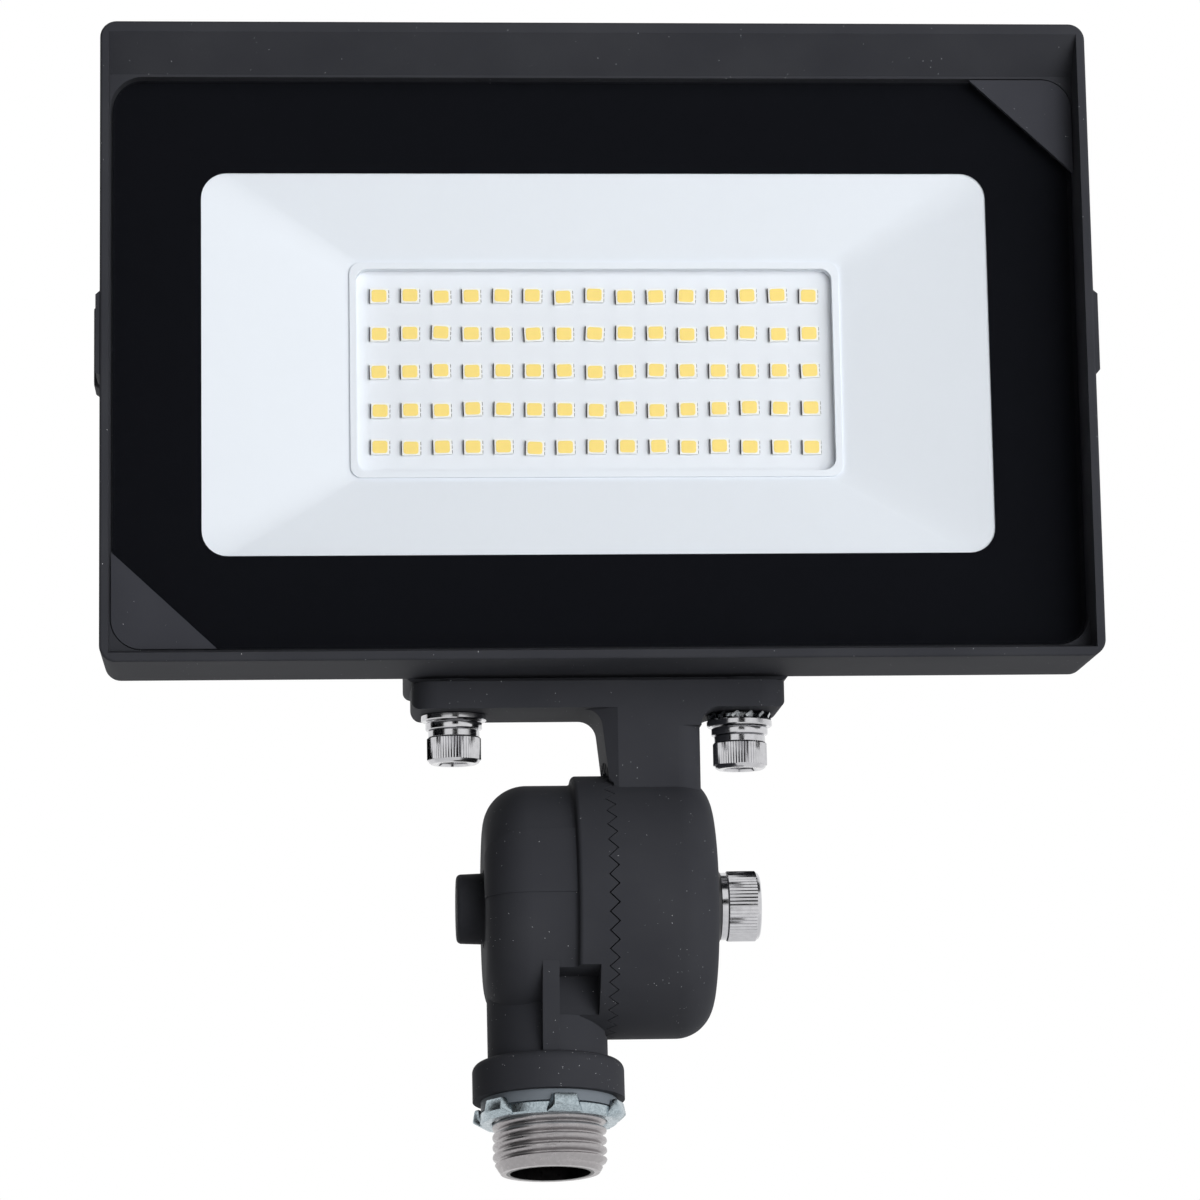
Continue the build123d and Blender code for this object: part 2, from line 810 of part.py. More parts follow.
# Housing: raised frame, driver box and fins, then the mouth, the pocket and the hollows
with BuildPart() as housing:
    with BuildSketch(front(frame_rear)):
        rounded(head_width, head_height, head_corner, head_middle)
    extrude(amount=frame_rear - lip_depth)
    lip_face = housing.faces().sort_by(Axis(HEAD.origin, -HEAD.y_dir))[-1]
    fillet(lip_face.edges(), lip_edge)
    with BuildSketch(front(box_rear)):
        rounded(box_width, box_height, box_edge, box_up)
    extrude(amount=box_rear - frame_rear)
    with BuildSketch(*[side(x) for x in side_fins]):
        fin_outline(head_foot + fin_end_inset, head_top - fin_end_inset)
    extrude(amount=fin_thickness / 2, both=True)
    with BuildSketch(*[side(x) for x in top_fins]):
        fin_outline(box_top - fin_slope, head_top - fin_end_inset)
    extrude(amount=fin_thickness / 2, both=True)
    # mouth: a visor that slopes down to the glass, and a low slope under it
    with BuildSketch(side(head_x)):
        with BuildLine():
            Polyline(
                (lip_depth, head_foot + lip_side),
                (lip_depth, head_top - lip_top),
                (lip_depth + visor_run, head_top - lip_top - visor_drop),
                (lip_depth + visor_run, glass_foot - glass_clearance),
                close=True,
            )
        make_face()
    extrude(amount=inner_width / 2, both=True, mode=Mode.SUBTRACT)
    with BuildSketch(front(seat_depth)):
        rounded(inner_width, pocket_span, glass_corner + glass_clearance, glass_up)
    extrude(amount=seat_depth - lip_depth - visor_run, mode=Mode.SUBTRACT)
    with BuildSketch(front(floor_front)):
        rounded(inner_width - 2 * glass_seat, pocket_span - 2 * glass_seat, chamber_corner, glass_up)
    extrude(amount=floor_front - seat_depth, mode=Mode.SUBTRACT)
    with BuildSketch(front(box_rear)):
        rounded(box_width - 2 * box_wall, box_height - 2 * box_wall, chamber_corner, box_up)
    extrude(amount=box_rear - frame_rear, mode=Mode.SUBTRACT)
    # posts under the corner covers
    with BuildSketch(front(floor_front)):
        corner_triangles(post_width, post_height)
    extrude(amount=floor_front - glass_front)
    # bosses for the cover screws, standoffs, posts for the reflector, bosses for board and flange screws
    with BuildSketch(front(box_rear)):
        circles(cover_screw_spots, cover_boss_radius)
    extrude(amount=box_rear - frame_rear)
    with BuildSketch(front(pcb_front)):
        circles(pcb_screw_spots + [earth_spot], standoff_radius)
    extrude(amount=standoff_height)
    with BuildSketch(front(floor_front)):
        circles(reflector_screw_spots, reflector_post_radius)
    extrude(amount=floor_front - reflector_post)
    with BuildSketch(front(frame_rear + board_boss_rise)):
        circles(board_screw_spots, standoff_radius)
    extrude(amount=board_boss_rise)
    with BuildSketch(level(box_foot)):
        circles(flange_screw_spots, screw_boss_radius)
    extrude(amount=screw_boss_depth)
    # pads on both sides, each with a boss inside the wall
    with BuildSketch(side(head_x + head_width / 2)):
        with Locations((boss_pad_centre, boss_pad_up)):
            RectangleRounded(boss_pad_depth, boss_pad_height, boss_pad_round)
    pad = extrude(amount=boss_pad_rise, taper=boss_pad_slope)
    with BuildSketch(side(head_x + head_width / 2)):
        with Locations((boss_pad_centre, boss_pad_up)):
            Circle(boss_inner_radius)
    inner = extrude(amount=-boss_inner_length)
    mirror(pad, about=side(head_x))
    mirror(inner, about=side(head_x))
    # tapped holes
    with BuildSketch(side(head_x + head_width / 2 + boss_pad_rise)):
        with Locations((boss_pad_centre, boss_pad_up)):
            Circle(yoke_hole_radius)
    tapping = extrude(amount=-yoke_hole_depth, mode=Mode.SUBTRACT)
    mirror(tapping, about=side(head_x), mode=Mode.SUBTRACT)
    with BuildSketch(front(box_rear)):
        circles(cover_screw_spots, m4 + thread_clearance)
    extrude(amount=cover_screw_length, mode=Mode.SUBTRACT)
    with BuildSketch(front(pcb_front)):
        circles(pcb_screw_spots + [earth_spot], m3 + thread_clearance)
    extrude(amount=standoff_height, mode=Mode.SUBTRACT)
    with BuildSketch(front(reflector_post)):
        circles(reflector_screw_spots, m3 + thread_clearance)
    extrude(amount=reflector_post - floor_front, mode=Mode.SUBTRACT)
    with BuildSketch(front(floor_front)):
        circles(board_screw_spots, m3 + thread_clearance)
    extrude(amount=-(floor_thickness + board_boss_rise - 1), mode=Mode.SUBTRACT)
    with BuildSketch(level(box_foot)):
        circles(flange_screw_spots, m6 + thread_clearance)
    extrude(amount=screw_boss_depth - 1, mode=Mode.SUBTRACT)
    # wire duct from the arm, hole for the grommet, holes for the pegs of the corner covers
    with BuildSketch(level(box_foot - 1)):
        with Locations((duct_x, arm_mid)):
            RectangleRounded(duct_width, duct_depth, duct_corner)
    extrude(amount=box_wall + 2, mode=Mode.SUBTRACT)
    with BuildSketch(front(frame_rear + 1)):
        circles([grommet_spot], grommet_waist)
    extrude(amount=floor_thickness + 2, mode=Mode.SUBTRACT)
    with BuildSketch(front(glass_front)):
        circles(cover_peg_spots, cover_peg_radius + peg_clearance)
    extrude(amount=-cover_peg_length - 0.5, mode=Mode.SUBTRACT)
housing.part.label = "housing"

# Glass, its gasket and the corner covers
with BuildPart() as front_glass:
    with BuildSketch(front(glass_back)):
        rounded(glass_width, glass_height, glass_corner, glass_up)
        corner_triangles(clip_width, clip_height, mode=Mode.SUBTRACT)
    extrude(amount=glass_thickness)
    chamfer(front_glass.faces().sort_by(Axis(HEAD.origin, -HEAD.y_dir))[-1].edges(), glass_edge)
front_glass.part.label = "front_glass"

with BuildPart() as glass_gasket:
    with BuildSketch(front(seat_depth)):
        rounded(glass_width, glass_height, glass_corner, glass_up)
        rounded(
            glass_width - 2 * glass_gasket_width,
            glass_height - 2 * glass_gasket_width,
            glass_corner - glass_gasket_width,
            glass_up,
            mode=Mode.SUBTRACT,
        )
        corner_triangles(clip_width, clip_height, mode=Mode.SUBTRACT)
    extrude(amount=glass_gasket_thickness)
glass_gasket.part.label = "glass_gasket"

with BuildPart() as corner_covers:
    with BuildSketch(front(glass_front)):
        corner_triangles(cover_width, cover_height)
        rounded(
            inner_width - 2 * cover_clearance,
            pocket_span - 2 * cover_clearance,
            cover_corner,
            glass_up,
            mode=Mode.INTERSECT,
        )
    extrude(amount=cover_thickness)
    with BuildSketch(front(glass_front)):
        circles(cover_peg_spots, cover_peg_radius)
    extrude(amount=-cover_peg_length)
corner_covers.part.label = "corner_covers"

# Reflector: face plate and tray round the diodes, with ears for its screws
with BuildPart() as reflector:
    with BuildSketch(front(reflector_front + reflector_wall)):
        rounded(
            window_width + 2 * reflector_flange,
            window_height + 2 * reflector_flange,
            window_corner + reflector_flange,
            optic_up,
        )
    extrude(amount=reflector_wall)
    with BuildSketch(front(reflector_front + reflector_wall)):
        rounded(window_width, window_height, window_corner, optic_up)
    with BuildSketch(front(rim_depth + reflector_wall)):
        rounded(rim_width, rim_height, opening_corner, optic_up)
    loft(ruled=True)
    with BuildSketch(front(board_front - reflector_foot_gap)):
        rounded(rim_width, rim_height, opening_corner, optic_up)
    extrude(amount=board_front - reflector_foot_gap - rim_depth)
    with BuildSketch(front(reflector_front)):
        rounded(window_width, window_height, window_corner, optic_up)
    with BuildSketch(front(rim_depth)):
        rounded(rim_width, rim_height, opening_corner, optic_up)
    loft(ruled=True, mode=Mode.SUBTRACT)
    with BuildSketch(front(rim_depth)):
        rounded(rim_width, rim_height, opening_corner, optic_up)
    extrude(amount=reflector_rim_rise)
    with BuildSketch(front(board_front)):
        rounded(opening_width, opening_height, opening_corner, optic_up)
    extrude(amount=board_front - reflector_front, mode=Mode.SUBTRACT)
    with BuildSketch(front(reflector_post)):
        circles(reflector_screw_spots, reflector_ear_radius)
    extrude(amount=reflector_ear)
    with BuildSketch(front(reflector_front + reflector_ear_step)):
        circles(reflector_screw_spots, m3_head_radius + screw_clearance)
    extrude(amount=reflector_ear_step, mode=Mode.SUBTRACT)
    with BuildSketch(front(reflector_post)):
        circles(reflector_screw_spots, m3 + screw_clearance)
    extrude(amount=reflector_ear, mode=Mode.SUBTRACT)
reflector.part.label = "reflector"

reflector_screws = head_screws(
    reflector_screw_spots, reflector_front + reflector_ear_step, 1, M3_SCREW, reflector_screw_length
)
reflector_screws.part.label = "reflector_screws"

# Board with its diodes
with BuildPart() as thermal_pad:
    with BuildSketch(front(floor_front)):
        rounded(board_width, board_height, board_corner, optic_up)
        circles(board_screw_spots, m3 + screw_clearance, Mode.SUBTRACT)
    extrude(amount=pad_thickness)
thermal_pad.part.label = "thermal_pad"

with BuildPart() as led_board:
    with BuildSketch(front(pad_front)):
        rounded(board_width, board_height, board_corner, optic_up)
        circles(board_screw_spots, m3 + screw_clearance, Mode.SUBTRACT)
    extrude(amount=board_thickness)
led_board.part.label = "led_board"

board_screws = head_screws(board_screw_spots, board_front, 1, M3_SCREW, board_screw_length)
board_screws.part.label = "board_screws"

with BuildPart() as led_bodies:
    with BuildSketch(front(board_front)):
        with Locations((head_x, optic_up)):
            with GridLocations(led_pitch_x, led_pitch_up, led_columns, led_rows):
                Rectangle(led_width, led_height)
    extrude(amount=led_thickness)
led_bodies.part.label = "led_bodies"

with BuildPart() as led_phosphors:
    with BuildSketch(front(led_front)):
        with Locations((head_x, optic_up)):
            with GridLocations(led_pitch_x, led_pitch_up, led_columns, led_rows):
                Rectangle(phosphor_width, phosphor_height)
    extrude(amount=phosphor_thickness)
led_phosphors.part.label = "led_phosphors"

# Driver board and what stands on it
with BuildPart() as driver_board:
    with BuildSketch(front(pcb_rear)):
        rounded(pcb_width, pcb_height, board_corner, pcb_up)
        circles(pcb_screw_spots, m3 + screw_clearance, Mode.SUBTRACT)
    extrude(amount=pcb_thickness)
driver_board.part.label = "driver_board"

with BuildPart() as driver_transformer:
    with BuildSketch(front(pcb_rear)):
        with Locations(transformer_spot):
            Rectangle(transformer_size[0], transformer_size[1])
    extrude(amount=-transformer_base)
    with BuildSketch(front(pcb_rear + transformer_base)):
        with Locations(transformer_spot):
            Rectangle(transformer_size[0] - 2, transformer_size[1] / 2)
            RectangleRounded(transformer_size[0] - 6, transformer_size[1] - 1, 3)
    extrude(amount=transformer_base - transformer_size[2])
driver_transformer.part.label = "driver_transformer"

with BuildPart() as driver_capacitors:
    for radius, height, rise_up in capacitor_sizes:
        with BuildSketch(front(pcb_rear)):
            circles([(head_x + capacitor_offset, pcb_up + rise_up)], radius)
        extrude(amount=-height)
driver_capacitors.part.label = "driver_capacitors"

with BuildPart() as driver_choke:
    with BuildSketch(front(pcb_rear)):
        circles([choke_spot], choke_radius)
        circles([choke_spot], choke_bore, Mode.SUBTRACT)
    extrude(amount=-choke_height)
    fillet(driver_choke.edges(), choke_radius / 6)
driver_choke.part.label = "driver_choke"

with BuildPart() as driver_heat_bar:
    with BuildSketch(front(pcb_rear)):
        with Locations((head_x, heat_bar_up)):
            Rectangle(heat_bar_size[0], heat_bar_size[1])
    extrude(amount=-heat_bar_size[2])
driver_heat_bar.part.label = "driver_heat_bar"

with BuildPart() as driver_transistor:
    with BuildSketch(front(pcb_rear)):
        with Locations((head_x, heat_bar_up - heat_bar_size[1] / 2)):
            Rectangle(transistor_size[0], transistor_size[1], align=(Align.CENTER, Align.MAX))
    extrude(amount=-transistor_size[2])
driver_transistor.part.label = "driver_transistor"

driver_screws = head_screws(pcb_screw_spots, pcb_rear, -1, M3_SCREW, pcb_screw_length)
driver_screws.part.label = "driver_screws"

earth_screw = head_screws([earth_spot], pcb_front, -1, M3_SCREW, earth_screw_length)
earth_screw.part.label = "earth_screw"

with BuildPart() as wire_grommet:
    with BuildSketch(front(frame_rear + grommet_flange)):
        circles([grommet_spot], grommet_radius)
    extrude(amount=grommet_flange)
    with BuildSketch(front(frame_rear)):
        circles([grommet_spot], grommet_waist)
    extrude(amount=floor_thickness)
    with BuildSketch(front(floor_front)):
        circles([grommet_spot], grommet_radius)
    extrude(amount=grommet_flange)
    with BuildSketch(front(frame_rear + grommet_flange)):
        circles([grommet_spot], grommet_bore)
    extrude(amount=floor_thickness + 2 * grommet_flange, mode=Mode.SUBTRACT)
wire_grommet.part.label = "wire_grommet"

with BuildPart() as board_leads:
    for offset in (-lead_spacing / 2, lead_spacing / 2):
        with BuildLine(side(grommet_spot[0] + offset)) as lead_path:
            FilletPolyline(
                (pcb_rear - pcb_thickness / 2, pcb_foot),
                (pcb_rear - pcb_thickness / 2, grommet_spot[1]),
                (board_front - lead_front, grommet_spot[1]),
                (board_front - lead_front, lead_end_up),
                (board_front, lead_end_up),
                radius=lead_bend,
            )
        with BuildSketch(
            Plane(
                origin=head_point(grommet_spot[0] + offset, pcb_rear - pcb_thickness / 2, pcb_foot),
                x_dir=HEAD.x_dir,
                z_dir=-HEAD.z_dir,
            )
        ):
            Circle(lead_radius)
        sweep(path=lead_path.line)
board_leads.part.label = "board_leads"

# Cover of the driver box
with BuildPart() as driver_cover_gasket:
    with BuildSketch(front(lid_front)):
        rounded(box_width, box_height, box_edge, box_up)
        rounded(chamber_width, chamber_height, chamber_corner, box_up, mode=Mode.SUBTRACT)
        circles(cover_screw_spots, cover_boss_radius)
        circles(cover_screw_spots, m4 + screw_clearance, Mode.SUBTRACT)
    extrude(amount=cover_gasket)
driver_cover_gasket.part.label = "driver_cover_gasket"

with BuildPart() as driver_cover:
    with BuildSketch(front(lid_rear)):
        rounded(box_width, box_height, box_edge, box_up)
        circles(cover_screw_spots, m4 + screw_clearance, Mode.SUBTRACT)
    extrude(amount=cover_plate)
    with BuildSketch(front(lid_rear + cover_rib_rise)):
        with Locations((head_x, box_up)):
            with GridLocations(cover_rib_pitch, 1, cover_rib_count, 1):
                Rectangle(cover_rib, box_height - 2 * cover_rib_inset)
    extrude(amount=cover_rib_rise)
driver_cover.part.label = "driver_cover"

driver_cover_screws = head_screws(cover_screw_spots, lid_rear, -1, M4_SCREW, cover_screw_length)
driver_cover_screws.part.label = "driver_cover_screws"

# Joint between the arm's flange and the housing
with BuildPart() as arm_gasket:
    with BuildSketch(level(flange_top)):
        with Locations((head_x, frame_rear)):
            Rectangle(
                flange_width - 2 * arm_gasket_inset,
                arm_rear - frame_rear - arm_gasket_inset,
                align=(Align.CENTER, Align.MIN),
            )
        circles(flange_screw_spots, flange_hole_radius, Mode.SUBTRACT)
        with Locations((duct_x, arm_mid)):
            RectangleRounded(duct_width, duct_depth, duct_corner, mode=Mode.SUBTRACT)
    extrude(amount=arm_gasket_thickness)
arm_gasket.part.label = "arm_gasket"

# Each stack hangs under the flange: (across, top of the flat washer)
stacks = (
    (flange_screw_xs[0], flange_foot),
    (flange_screw_xs[1], flange_foot - tooth_washer_thickness),
)
washers_thickness = flat_washer_thickness + spring_washer_thickness

with BuildPart() as flange_tooth_washer:
    with BuildSketch(level(flange_foot)):
        circles(flange_screw_spots[1:], tooth_washer_radius)
        circles(flange_screw_spots[1:], washer_hole, Mode.SUBTRACT)
    extrude(amount=-tooth_washer_thickness)
flange_tooth_washer.part.label = "flange_tooth_washer"

with BuildPart() as flange_flat_washers:
    for x, top in stacks:
        with BuildSketch(level(top)):
            circles([(x, arm_mid)], flat_washer_radius)
            circles([(x, arm_mid)], washer_hole, Mode.SUBTRACT)
        extrude(amount=-flat_washer_thickness)
flange_flat_washers.part.label = "flange_flat_washers"

with BuildPart() as flange_spring_washers:
    for x, top in stacks:
        with BuildSketch(level(top - flat_washer_thickness)):
            circles([(x, arm_mid)], spring_washer_radius)
            circles([(x, arm_mid)], washer_hole, Mode.SUBTRACT)
        extrude(amount=-spring_washer_thickness)
flange_spring_washers.part.label = "flange_spring_washers"

with BuildPart() as flange_screws:
    for x, top in stacks:
        with BuildSketch(level(top - washers_thickness - m6_head_height)):
            circles([(x, arm_mid)], m6_head_radius)
            with Locations((x, arm_mid)):
                RegularPolygon(m6_socket_flats / 2, 6, major_radius=False, mode=Mode.SUBTRACT)
        extrude(amount=m6_head_height * socket_share)
        with BuildSketch(level(top - washers_thickness - m6_head_height * (1 - socket_share))):
            circles([(x, arm_mid)], m6_head_radius)
        extrude(amount=m6_head_height * (1 - socket_share))
        with BuildSketch(level(top - washers_thickness)):
            circles([(x, arm_mid)], m6)
        extrude(amount=washers_thickness + box_foot - flange_foot + m6_engagement)
flange_screws.part.label = "flange_screws"

os.makedirs("parts", exist_ok=True)
for piece in (
    lower_arm,
    knuckle_o_ring,
    knuckle_nut,
    upper_arm,
    bolt_washer,
    knuckle_bolt,
    threaded_nipple,
    seal_washer,
    locknut,
    housing,
    front_glass,
    glass_gasket,
    corner_covers,
    reflector,
    reflector_screws,
    thermal_pad,
    led_board,
    board_screws,
    led_bodies,
    led_phosphors,
    driver_board,
    driver_transformer,
    driver_capacitors,
    driver_choke,
    driver_heat_bar,
    driver_transistor,
    driver_screws,
    earth_screw,
    wire_grommet,
    board_leads,
    driver_cover_gasket,
    driver_cover,
    driver_cover_screws,
    arm_gasket,
    flange_tooth_washer,
    flange_flat_washers,
    flange_spring_washers,
    flange_screws,
):
    export_step(piece.part, f"parts/{piece.part.label}.step")
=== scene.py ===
"""Looks of an LED floodlight on a serrated knuckle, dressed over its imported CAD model.

Lengths are in metres and in the part's own frame: +Z up the nipple, the lit side faces -Y and +X is
to the right of someone facing it. The head leans forward one click of the knuckle.
"""

import json
import logging
import math
import random
from collections.abc import Callable, Iterable
from dataclasses import dataclass, field
from enum import Enum
from typing import Any

import bmesh
import bpy
from mathutils import Matrix, Vector

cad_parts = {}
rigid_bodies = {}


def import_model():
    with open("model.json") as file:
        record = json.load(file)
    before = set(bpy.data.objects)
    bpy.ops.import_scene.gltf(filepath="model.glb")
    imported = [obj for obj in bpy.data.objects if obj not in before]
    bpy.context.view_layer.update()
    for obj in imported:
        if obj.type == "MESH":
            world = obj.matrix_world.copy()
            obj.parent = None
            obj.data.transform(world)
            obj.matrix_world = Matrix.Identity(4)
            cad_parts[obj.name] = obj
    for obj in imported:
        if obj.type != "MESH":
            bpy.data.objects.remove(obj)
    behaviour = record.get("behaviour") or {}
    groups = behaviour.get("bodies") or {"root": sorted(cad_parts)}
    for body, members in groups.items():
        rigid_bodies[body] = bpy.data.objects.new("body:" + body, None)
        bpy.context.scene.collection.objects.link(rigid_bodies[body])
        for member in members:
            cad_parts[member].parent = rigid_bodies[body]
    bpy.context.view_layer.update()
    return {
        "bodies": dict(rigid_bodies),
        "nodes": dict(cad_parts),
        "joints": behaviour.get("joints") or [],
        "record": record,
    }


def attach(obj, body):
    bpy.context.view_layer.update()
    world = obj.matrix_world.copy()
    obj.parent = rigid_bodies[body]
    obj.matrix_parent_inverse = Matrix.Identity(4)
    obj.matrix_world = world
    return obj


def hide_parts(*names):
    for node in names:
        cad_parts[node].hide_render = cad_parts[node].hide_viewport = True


MM = 0.001
HINGE = Vector((0.0, 0.0, 36 * MM))
LEAN = math.radians(8)
WELD = 1e-7
HEAD = Matrix.Translation(HINGE) @ Matrix.Rotation(LEAN, 4, "X")
log = logging.getLogger("floodlight")


class Body(Enum):
    """The CAD bodies that new pieces ride on."""

    BASE = "base"
    HEAD = "head"
    BOLT = "bolt"
    NUT = "nut"


def srgb(code: str) -> tuple[float, float, float, float]:
    """Turns an sRGB hex colour into a linear one.

    Args:
        code: six hex digits with a leading #.

    Returns:
        Linear red, green, blue and an alpha of 1.
    """
    parts = [int(code[i : i + 2], 16) / 255 for i in (1, 3, 5)]
    return (*[c / 12.92 if c <= 0.04045 else ((c + 0.055) / 1.055) ** 2.4 for c in parts], 1.0)


def node(
    tree: bpy.types.NodeTree,
    kind: str,
    inputs: dict[str | int, Any] | None = None,
    **settings: Any,
) -> bpy.types.Node:
    """Adds a node with its settings and links.

    Args:
        tree: the node tree that it goes into.
        kind: the node's type, without its ShaderNode prefix.
        inputs: values or output sockets, by input name or number.
        settings: the node's own properties.

    Returns:
        The new node.
    """
    made = tree.nodes.new("ShaderNode" + kind)
    for name, value in settings.items():
        setattr(made, name, value)
    for name, value in (inputs or {}).items():
        if isinstance(value, bpy.types.NodeSocket):
            tree.links.new(value, made.inputs[name])
        else:
            made.inputs[name].default_value = value
    return made


def shown(tree: bpy.types.NodeTree) -> bpy.types.NodeSocket:
    """A socket that is 1 for what the camera, gloss and glass show, and 0 for light on the object."""
    path = node(tree, "LightPath")
    gloss = {0: path.outputs["Is Glossy Ray"], 1: path.outputs["Is Transmission Ray"]}
    mirrored = node(tree, "Math", gloss, operation="MAXIMUM")
    every = {0: path.outputs["Is Camera Ray"], 1: mirrored.outputs[0]}
    return node(tree, "Math", every, operation="MAXIMUM").outputs[0]


# Finishes


@dataclass(frozen=True)
class Finish:
    """A surface of one even colour, and the start of every richer one."""

    name: str
    colour: str
    roughness: float = 0.5
    metallic: float = 0.0
    ior: float = 1.5
    specular: float = 0.5
    coat: float = 0.0
    coat_roughness: float = 0.05

    def material(self) -> bpy.types.Material:
        """Makes the material."""
        made = bpy.data.materials.new(self.name)
        made.use_nodes = True
        tree = made.node_tree
        tree.nodes.clear()
        shader = node(
            tree,
            "BsdfPrincipled",
            {
                "Base Color": srgb(self.colour),
                "Roughness": self.roughness,
                "Metallic": self.metallic,
                "Specular IOR Level": self.specular,
                "Coat Weight": self.coat,
                "Coat Roughness": self.coat_roughness,
            },
        )
        if self.metallic < 1:
            shader.inputs["IOR"].default_value = self.ior
        self.detail(tree, shader)
        node(tree, "OutputMaterial", {"Surface": shader.outputs[0]})
        return made

    def detail(self, tree: bpy.types.NodeTree, shader: bpy.types.Node) -> None:
        """Adds what makes the surface more than one even colour; nothing here."""

    def place(self, tree: bpy.types.NodeTree) -> bpy.types.NodeSocket:
        """The socket of the object's own coordinates, in metres."""
        return node(tree, "TexCoord").outputs["Object"]

    def noise(
        self, tree: bpy.types.NodeTree, place: bpy.types.NodeSocket, size_mm: float, detail: float
    ) -> bpy.types.Node:
        """A noise whose lumps are size_mm apart: coordinates are in metres, so its scale is 1 / size."""
        return node(tree, "TexNoise", {"Vector": place, "Scale": 1 / (size_mm * MM), "Detail": detail})

    def bump(
        self,
        tree: bpy.types.NodeTree,
        shader: bpy.types.Node,
        height: bpy.types.NodeSocket,
        depth_mm: float,
        strength: float,
    ) -> None:
        """Bumps the shader's normal.

        Args:
            tree: the material's nodes.
            shader: the shader that gets the normal.
            height: the pattern, from 0 to 1.
            depth_mm: how deep the pattern is.
            strength: how much of it shows.
        """
        raised = node(tree, "Bump", {"Height": height, "Distance": depth_mm * MM, "Strength": strength})
        tree.links.new(raised.outputs[0], shader.inputs["Normal"])


@dataclass(frozen=True)
class PowderCoat(Finish):
    """Black polyester powder coat on die-cast aluminium: a satin skin with a fine orange peel.

    The white grains are painted glints, up to 2 x 0.16 x 0.38 = 0.12 mm across, one to a cell of the
    pattern, close together in some patches and sparse in others.
    """

    second: str = "#3d3e42"
    cloud_mm: float = 14.0
    peel_mm: float = 0.35
    peel_depth: float = 0.02
    # white of the painted glints, set into the base colour
    painted_glint: str = "#f0f0f4"
    grain_mm: float = 0.38
    grain_size: float = 0.16
    patch_mm: float = 7.0
    patch_from: float = 0.5
    patch_to: float = 0.64
    scarce: float = 0.995
    rare: float = 0.87

    def detail(self, tree: bpy.types.NodeTree, shader: bpy.types.Node) -> None:
        """Adds the peel, cloudy colour and the painted glints."""
        place = self.place(tree)
        cloud = self.noise(tree, place, self.cloud_mm, 3.0)
        tint = node(
            tree,
            "MixRGB",
            {"Fac": cloud.outputs[0], "Color1": srgb(self.colour), "Color2": srgb(self.second)},
        )
        grains = node(tree, "TexVoronoi", {"Vector": place, "Scale": 1 / (self.grain_mm * MM)})
        size = {0: grains.outputs["Distance"], 1: self.grain_size}
        near = node(tree, "Math", size, operation="LESS_THAN")
        pick = node(tree, "SeparateColor", {0: grains.outputs["Color"]})
        patch = self.noise(tree, place, self.patch_mm, 2.0)
        limit = node(
            tree,
            "MapRange",
            {
                "Value": patch.outputs[0],
                "From Min": self.patch_from,
                "From Max": self.patch_to,
                "To Min": self.scarce,
                "To Max": self.rare,
            },
        )
        chosen = {0: pick.outputs[0], 1: limit.outputs[0]}
        some = node(tree, "Math", chosen, operation="GREATER_THAN")
        # grains that turn white in the base colour: painted glints
        painted_glint = node(tree, "Math", {0: near.outputs[0], 1: some.outputs[0]}, operation="MULTIPLY")
        shine = node(tree, "Math", {0: painted_glint.outputs[0], 1: pick.outputs[1]}, operation="MULTIPLY")
        base = node(
            tree,
            "MixRGB",
            {"Fac": shine.outputs[0], "Color1": tint.outputs[0], "Color2": srgb(self.painted_glint)},
        )
        tree.links.new(base.outputs[0], shader.inputs["Base Color"])
        peel = self.noise(tree, place, self.peel_mm, 2.0)
        self.bump(tree, shader, peel.outputs[0], self.peel_depth, 0.5)


@dataclass(frozen=True)
class FloorPaint(Finish):
    """Matt white floor paint, lifted towards white only where it is seen, so it keeps its shadow."""

    lift: float = 0.6

    def detail(self, tree: bpy.types.NodeTree, shader: bpy.types.Node) -> None:
        """Adds the lift for what the camera, gloss and glass see."""
        amount = node(tree, "Math", {0: shown(tree), 1: self.lift}, operation="MULTIPLY")
        shader.inputs["Emission Color"].default_value = srgb(self.colour)
        tree.links.new(amount.outputs[0], shader.inputs["Emission Strength"])


@dataclass(frozen=True)
class Metal(Finish):
    """Bare or plated metal with faint clouds of roughness and tone."""

    metallic: float = 1.0
    second: str = "#8a8a8c"
    cloud_mm: float = 1.2
    share: float = 0.25
    grit_mm: float = 0.12
    grit_depth: float = 0.004
    smoothest: float = 0.8
    roughest: float = 1.3

    def detail(self, tree: bpy.types.NodeTree, shader: bpy.types.Node) -> None:
        """Adds the clouds and a fine grit."""
        place = self.place(tree)
        cloud = self.noise(tree, place, self.cloud_mm, 4.0)
        amount = node(tree, "Math", {0: cloud.outputs[0], 1: self.share}, operation="MULTIPLY")
        tint = node(
            tree,
            "MixRGB",
            {"Fac": amount.outputs[0], "Color1": srgb(self.colour), "Color2": srgb(self.second)},
        )
        tree.links.new(tint.outputs[0], shader.inputs["Base Color"])
        rough = node(
            tree,
            "MapRange",
            {
                "Value": cloud.outputs[0],
                "From Min": 0.3,
                "From Max": 0.7,
                "To Min": self.roughness * self.smoothest,
                "To Max": self.roughness * self.roughest,
            },
        )
        tree.links.new(rough.outputs[0], shader.inputs["Roughness"])
        grit = self.noise(tree, place, self.grit_mm, 1.0)
        self.bump(tree, shader, grit.outputs[0], self.grit_depth, 0.6)


